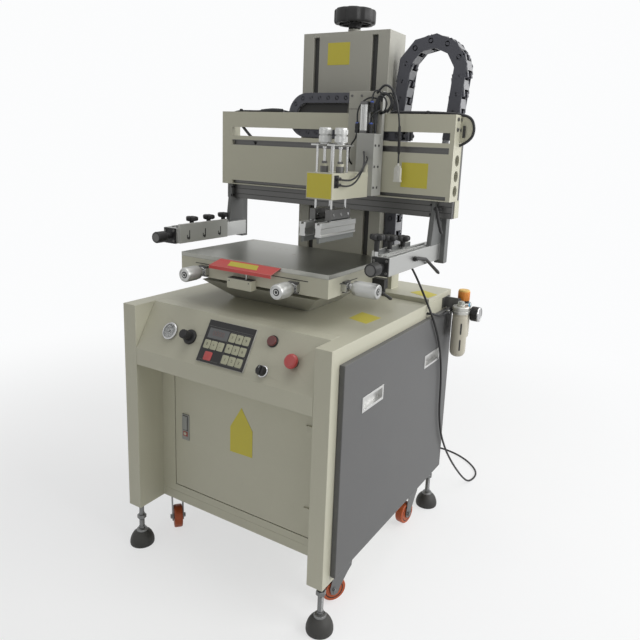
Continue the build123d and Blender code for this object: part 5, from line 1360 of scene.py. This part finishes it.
key_cream = coated("key_cream", (0.46, 0.46, 0.33), gloss=0.45, film=0.2, relief=0.05)
key_window = coated("key_window", (0.11, 0.115, 0.12), gloss=0.12, film=0.15, relief=0.02)
gauge_u, gauge_v = -200, 71
pressure_spot, selector_spot, stop_spot = (-125, 69), (140, 30), (222, 70)


def add_mark(bm, middle, along, across, inner, outer, wide, thick, place, finish):
    """A scale mark on a dial, from an inner to an outer reach."""
    corners = ((inner, -wide), (outer, -wide), (outer, wide), (inner, wide))
    add_prism(bm, [tuple(middle + along * reach + across * aside) for reach, aside in corners], thick, place, finish)


bm = bmesh.new()
add_turned(bm, (gauge_u, gauge_v, 0), upward,
    [(20.5, 4.6), (20.5, 7.6), (23, 8), (25, 6.4), (25, 2), (23, 0), (0, 0), (0, 3.0), (19, 3.0), (20.5, 4.6)],
    on_slope, sides=56)
add_turned(bm, (gauge_u, gauge_v, 3.0), upward, [(0, 0), (20.4, 0), (20.4, 0.4), (0, 0.4)], on_slope, finish=1,
    sides=48)
add_turned(bm, (gauge_u, gauge_v, 3.4), upward, [(0, 0), (2.6, 0), (2.6, 1.6), (0, 1.8)], on_slope, finish=2,
    sides=18)
needle = radians(215)
tip_u, tip_v = gauge_u + 17 * cos(needle), gauge_v + 17 * sin(needle)
tail_u, tail_v = gauge_u - 5 * cos(needle), gauge_v - 5 * sin(needle)
side_u, side_v = -sin(needle) * 0.7, cos(needle) * 0.7
needle_corners = [(tip_u, tip_v, 4.2), (tail_u + side_u, tail_v + side_v, 4.2),
    (tail_u - side_u, tail_v - side_v, 4.2)]
add_prism(bm, needle_corners, (0, 0, 0.4), on_slope, finish=2)
for i in range(25):
    turn = radians(-135 + 270 * i / 24 + 90)
    inner, wide = (13.5, 0.42) if i % 4 == 0 else (16.0, 0.2)
    along, across = Vector((cos(turn), sin(turn), 0)), Vector((-sin(turn), cos(turn), 0))
    add_mark(bm, Vector((gauge_u, gauge_v, 3.4)), along, across, inner, 18.6, wide, (0, 0, 0.12), on_slope, 2)
for place, radius, high, finish in ((stop_spot, 12, 5, 2), (selector_spot, 16, 5, 0)):
    base_ring = [(6.4, 0), (radius, 0), (radius, high - 2), (radius - 2, high), (6.4, high)]
    add_turned(bm, (*place, 0), upward, base_ring, on_slope, finish=finish, sides=44)
add_turned(bm, (140, 110, 0), upward, [(0, 0), (16, 0), (16, 3), (14.6, 4.6), (14, 4.6), (0, 4.6)], on_slope,
    finish=2, sides=48)
add_turned(bm, (140, 110, 4.4), upward, [(0, 0), (13.6, 0), (13.6, 3.6), (12.4, 5.6), (8, 6.4), (0, 6.6)], on_slope,
    finish=3, sides=48)
made_piece(bm, "console_controls", "cabinet", [chrome_ring, dial_white, key_black, button_dark_red],
    "console_fittings", easing=0.2)
bm = bmesh.new()
add_turned(bm, (gauge_u, gauge_v, 6.2), upward, [(0, 0.5), (12, 0.35), (20.4, 0), (20.4, -0.4), (0, -0.4)], on_slope,
    sides=48)
made_piece(bm, "gauge_window", "cabinet", [gauge_glass])

# The keypad: a black film with rounded corners in a thin pale rim, a smoked display window with
# four figures, twelve pale keys with plain figures and a red stop key.
pad_u, pad_v = 4.5, 71.0
rim_grey = coated("rim_grey", (0.46, 0.46, 0.43), gloss=0.36, film=0.2, relief=0.04)
bm = bmesh.new()
add_block(bm, (pad_u - 80, pad_v - 59, 0), (pad_u + 80, pad_v + 59, 4.6), on_slope)
add_block(bm, (pad_u - 79, pad_v - 58, 4.0), (pad_u + 79, pad_v + 58, 5.4), on_slope, finish=1)
add_block(bm, (pad_u - 69, pad_v + 9, 5.4), (pad_u - 1, pad_v + 36, 5.9), on_slope, finish=2)
for u0, v0, u1, v1 in ((-74, 41, 74, 41.8), (-69, 8.4, -1, 9), (-69, 36, -1, 36.6), (-74, -52, -6, -51.2),
    (1, -52, 72, -51.2), (1, 36, 72, 36.8), (1, -52, 1.8, 36), (71.2, -52, 72, 36)):
    add_block(bm, (pad_u + u0, pad_v + v0, 5.4), (pad_u + u1, pad_v + v1, 5.75), on_slope, finish=3)
made_piece(bm, "keypad_film", "cabinet", [rim_grey, key_black, key_window, ground_dark], easing=0.5)
key_corners = ((-1, -0.8), (-0.8, -1), (0.8, -1), (1, -0.8), (1, 0.8), (0.8, 1), (-0.8, 1), (-1, 0.8))


def key_cap(half_wide, half_high, levels):
    """A flat key with cut corners, its size at each level a share of the whole."""
    unit = bmesh.new()
    add_rings(unit, [
        [own(half_wide * x * share, half_high * y * share, z) for x, y in key_corners] for share, z in levels
    ])
    return unit


key_places = [(u, v) for v in (22, -8, -38) for u in (13.5, 36.5, 59.5)] + [(u, -9) for u in (-61, -38, -15)]
key_turn = Matrix((Vector((1, 0, 0)), slope_run, slope_out)).transposed()


def on_keypad(name, unit, places, finish):
    """Units on the keypad, upright on the slope."""
    spots = [(on_slope(pad_u + u, pad_v + v, 5.5), key_turn) for u, v in places]
    return repeated(name, unit, spots, "cabinet", finish, smooth=30)


on_keypad("keypad_keys", key_cap(10.6, 11.872, ((1, 0), (1, 0.6), (0.93, 0.85))), key_places, key_cream)
on_keypad("keypad_stop_key", key_cap(13, 12, ((1, 0), (1, 0.7), (0.94, 1.0))), [(-45, -40)], button_red)
figure_lit, figure_tree, figure_shader = new_surface("figure_lit", Roughness=0.4)
figure_noise = put(figure_tree, "ShaderNodeTexNoise", Vector=own_place(figure_tree), Scale=400.0)
figure_tree.links.new(blended(figure_tree, figure_noise.outputs["Fac"], (0.10, 0.07, 0.07, 1),
    (0.16, 0.09, 0.08, 1)), figure_shader.inputs["Base Color"])


def figures(name, words, finish, body, place, size):
    """Flat figures as a mesh, each word with its middle at a place of its own."""
    bm = bmesh.new()
    for word, spot in words:
        text = bpy.data.curves.new(name, "FONT")
        text.body = word
        text.size = size * millimetre
        text.align_x = "CENTER"
        text.align_y = "CENTER"
        text.extrude = 0.00006
        shape = bpy.data.objects.new(name, text)
        bpy.context.scene.collection.objects.link(shape)
        bpy.context.view_layer.update()
        graph = bpy.context.evaluated_depsgraph_get()
        mesh = bpy.data.meshes.new_from_object(shape.evaluated_get(graph))
        first = len(bm.verts)
        bm.from_mesh(mesh)
        bm.verts.ensure_lookup_table()
        for vertex in bm.verts[first:]:
            x, y, z = vertex.co * 1000
            vertex.co = place(spot[0] + x, spot[1] + y, spot[2] + z)
        bpy.data.objects.remove(shape)
    return made_piece(bm, name, body, [finish])


key_words = [(word, (pad_u + u, pad_v + v, 6.45)) for word, (u, v) in zip("789456123", key_places)]
key_words += [(word, (pad_u + u, pad_v - 9, 6.45)) for word, u in (("0", -61), ("+", -38), ("-", -15))]
figures("keypad_figures", key_words, key_black, "cabinet", on_slope, 10.5)
figures("display_figures", [("0000", (pad_u - 35, pad_v + 22.5, 6.0))], figure_lit, "cabinet", on_slope, 20)
dial_words = []
for word, turn in (("0", radians(225)), ("2", radians(157)), ("4", radians(90)), ("6", radians(23)),
    ("8", radians(-45))):
    dial_words.append((word, (gauge_u + 10.6 * cos(turn), gauge_v + 10.6 * sin(turn), 3.5)))
figures("gauge_figures", dial_words, key_black, "cabinet", on_slope, 4.6)

# The console's loose controls: the knurled pressure knob beside the gauge, the black selector
# with its white line, and the red mushroom head of the stop button.
bm = bmesh.new()
add_turned(bm, (*pressure_spot, -19.9), upward, [(0, 0), (6, 0), (6, 20), (0, 20)], on_slope, sides=24)
add_turned(bm, (*pressure_spot, 0), upward, [(0, 0.3), (21, 0.3), (21, 4), (19, 7), (15, 8), (0, 8)], on_slope,
    sides=44)
add_turned(bm, (*pressure_spot, 6), upward,
    [(0, 0), (11.6, 0), (12.5, 2.4), (12.5, 28.6), (11.4, 30.4), (9, 31), (0, 31)], on_slope, sides=72,
    lobes=lambda turn: 1 - 0.03 * (sin(24 * turn) > 0))
made_piece(bm, "pressure_knob_moulding", "pressure_knob", [moulded_black], "pressure_knob", easing=0.3)
bm = bmesh.new()
add_turned(bm, (*selector_spot, -19.9), upward, [(0, 0), (6, 0), (6, 25), (0, 25)], on_slope, sides=24)
add_turned(bm, (*selector_spot, 5), upward, [(0, 0), (12.5, 0), (12.5, 11), (11.4, 13), (8, 13.6), (0, 13.6)],
    on_slope, sides=44)
add_prism(bm, [(135.6, 19, 16), (144.4, 19, 16), (144.6, 40, 16), (140, 42, 16), (135.4, 40, 16)], (0, 0, 7),
    on_slope)
add_prism(bm, [(139.2, 34, 23), (140.8, 34, 23), (140.8, 40, 23), (139.2, 40, 23)], (0, 0, 0.3), on_slope, finish=1)
made_piece(bm, "selector_knob_moulding", "selector_knob", [moulded_black, dial_white], "selector_knob", easing=0.5)
bm = bmesh.new()
add_turned(bm, (*stop_spot, -19.9), upward, [(0, 0), (6, 0), (6, 32), (0, 32)], on_slope, finish=1, sides=24)
add_turned(bm, (*stop_spot, 12), upward, [(0, 0), (13, 0), (17.6, 1.6), (19, 4.4), (19, 8), (17.6, 11), (13.4, 13.4),
    (12.6, 13.0), (11.4, 13.2), (6, 14), (0, 14)], on_slope, sides=56)
made_piece(bm, "stop_button_head", "stop_button", [button_red, moulded_black], "stop_button", easing=0.25)


# The air service unit on its dark steel bracket: an oiler and a filter regulator side by side, each with a
# cast head and a metal bowl with two sight slots, an orange setting knob and a black gauge.
eased_solid("service_bracket", "cabinet", [ground_dark], 0.6)
bowl_beige = coated("bowl_beige", (0.52, 0.49, 0.40), gloss=0.36, film=0.3, relief=0.06)
head_silver = coated("head_silver", (0.50, 0.50, 0.47), gloss=0.34, film=0.25, grain=260.0, relief=0.2, Metallic=0.85)
knob_orange = coated("knob_orange", (0.72, 0.24, 0.02), gloss=0.38, film=0.2, relief=0.06)
knob_cap = coated("knob_cap", (0.80, 0.50, 0.12), gloss=0.4, film=0.2, relief=0.06)
sight_clear = coated("sight_clear", (0.55, 0.57, 0.53), gloss=0.08, film=0.1, relief=0.02, Transmission_Weight=0.4,
    IOR=1.45)
label_blue = coated("label_blue", (0.10, 0.34, 0.55), gloss=0.4, film=0.1, relief=0.02)
bm = bmesh.new()
oiler, regulator, head_foot = (411, 700), (399, 755), 735
for (x, y), bowl in ((oiler, 143.0), (regulator, 100.0)):
    add_turned(bm, (x, y, head_foot), upward,
        [(0, 0), (25.4, 0), (27, 2), (27, 9), (25.8, 10), (25.8, 13), (27, 14), (27, 22), (24.5, 25), (0, 25)],
        sides=48)
    cup = [(0, -bowl), (9, -bowl), (13.6, -bowl + 1.2), (19.4, -bowl + 5), (23.6, -bowl + 11.4), (25, -bowl + 18),
        (25, -9), (24, -8), (24, -4), (25, -3), (25, 1), (0, 1)]
    add_turned(bm, (x, y, head_foot), upward, cup, finish=1, sides=48)
    add_turned(bm, (x, y, head_foot - bowl), upward, [(0, 0), (4, 0), (4, 2), (0, 2)], finish=3, sides=16)
    for turn in (radians(-58), radians(32), radians(122), radians(212)):
        out = Vector((cos(turn), sin(turn), 0))
        beside = Vector((-sin(turn), cos(turn), 0))
        gap = (bowl - 50) / 2
        for start in (head_foot - 26 - gap * 0.82, head_foot - 30 - gap * 1.9):
            middle = Vector((x, y, start)) + out * 24.4
            slot = [middle + beside * w + Vector((0, 0, h)) for w,
                h in ((-2.6, 2), (-1.2, 0), (1.2, 0), (2.6, 2), (2.6, gap * 0.74), (1.2, gap * 0.8),
                    (-1.2, gap * 0.8), (-2.6, gap * 0.74))]
            add_prism(bm, [tuple(point) for point in slot], tuple(out * 0.85), finish=2)
run = Vector((399 - 411, 55, 0)).normalized()
add_turned(bm, (*oiler, 746), tuple(run), [(0, 0), (10, 0), (10, 56), (0, 56)], sides=28)
middle = Vector((411, 700, 746)) + run * 28.1
add_turned(bm, tuple(middle - run * 3), tuple(run), [(10.2, 0), (13, 0.6), (13, 5.4), (10.2, 6)], sides=28)
add_turned(bm, (*oiler, 759), upward, [(0, 0), (13, 0), (13, 5), (12, 6), (12, 7), (0, 7)], sides=36)
add_turned(bm, (*oiler, 765), upward, [(0, 0), (11.6, 0), (11.4, 5), (9.4, 9.4), (5, 11.7), (0, 12)], finish=4,
    sides=36)
add_turned(bm, (*regulator, 759.5), upward, [(0, 0), (18.4, 0), (18.4, 7), (17, 8), (0, 8)], finish=3, sides=40)
add_turned(bm, (*regulator, 767), upward, [(0, 0), (18.6, 0), (19.5, 1.4), (19.5, 28), (18.8, 30), (0, 30)],
    finish=5, sides=96, lobes=lambda turn: 1 - 0.028 * (sin(24 * turn) > 0))
add_turned(bm, (*regulator, 796.6), upward, [(0, 0), (18.6, 0), (18.2, 3.6), (16.2, 5.2), (0, 5.2)], finish=6,
    sides=48)
add_turned(bm, (399, 747, 729), rightward, [(0, 0), (5, 0), (5, 33), (0, 33)], sides=6)
air_gauge = (431, 747, 729)
gauge = [(0, 0), (17, 0), (22.6, 2), (24, 4), (24, 26), (23.4, 29), (22, 30), (20.6, 30), (20.4, 27.6), (0, 27.6)]
add_turned(bm, air_gauge, rightward, gauge[:5] + [(22.4, 26.4), (0, 26.4)], finish=3, sides=48)
add_turned(bm, air_gauge, rightward, [(20.4, 25.6), (24, 25.6), (24, 28.6), (22.6, 30), (20.8, 30), (20.4, 28.6)],
    finish=7, sides=56)
add_turned(bm, air_gauge, rightward, [(0, 26), (20.5, 26), (20.5, 26.8), (0, 26.8)], finish=8, sides=48)
for i in range(21):
    turn = radians(-45 + 270 * i / 20)
    along, across = Vector((0, cos(turn), sin(turn))), Vector((0, -sin(turn), cos(turn)))
    inner, wide = (13, 0.45) if i % 4 == 0 else (15.6, 0.22)
    add_mark(bm, Vector((457.8, 747, 729)), along, across, inner, 18.4, wide, (0.15, 0, 0), at, 3)
add_prism(bm, [(458.3, 747, 726.4), (458.3, 761, 737), (458.3, 746, 731)], (0.4, 0, 0), finish=3)
add_turned(bm, (386, 697, 746), (-0.35, -0.94, 0.1), [(0, -4), (7, -4), (7, 9), (5.6, 10.4), (0, 10.4)], finish=3,
    sides=24)
add_prism(bm, [(425.4, 728, 752), (427.2, 740, 752), (427.2, 740, 765), (425.4, 728, 765)], (0.5, 0.1, 0), finish=9)
made_piece(
    bm, "air_unit", "cabinet",
    [head_silver, bowl_beige, plain_black, moulded_black, sight_clear, knob_orange, knob_cap, chrome_ring, dial_white,
        label_blue],
    "air_service_unit", easing=0.35,
)
bent_line("air_line", [
    (350, 565, 753), (366, 572, 752), (377, 596, 745), (378, 630, 737), (379, 662, 741), (384, 696, 745),
], 4.0, hose_skin, "cabinet", "air_hose")
bm = bmesh.new()
inlet = Vector((384, 694, 745)) - Vector((379, 662, 741))
add_turned(bm, (379.6, 666, 741.5), tuple(inlet), [(4.1, 0), (6.4, 0.6), (6.4, 5), (4.1, 5.6)], sides=24)
made_piece(bm, "air_line_ring", "cabinet", [chrome_ring], easing=0.2)

# A locking lever on the right of the table: a black block on a short stub, with a slim black
# handle that slopes down toward the back.
bm = bmesh.new()
add_block(bm, (251.8, 375, 853), (290, 400, 881))
add_turned(bm, (282, 387, 856), (0, 0, -1), [(0, 0), (7, 0), (7, 12), (5, 14), (5, 24), (0, 24)], sides=24)
add_lever(bm, [
    (288, 366, 847, 3.4), (288, 371, 844, 4.6), (288, 388, 835, 4.8),
    (290, 404, 827, 4.6), (290, 423, 817, 5.4), (290, 427, 815, 3.6),
], (0.8, 0.6))
made_piece(bm, "table_lock_lever", "table", [moulded_black], easing=0.4)
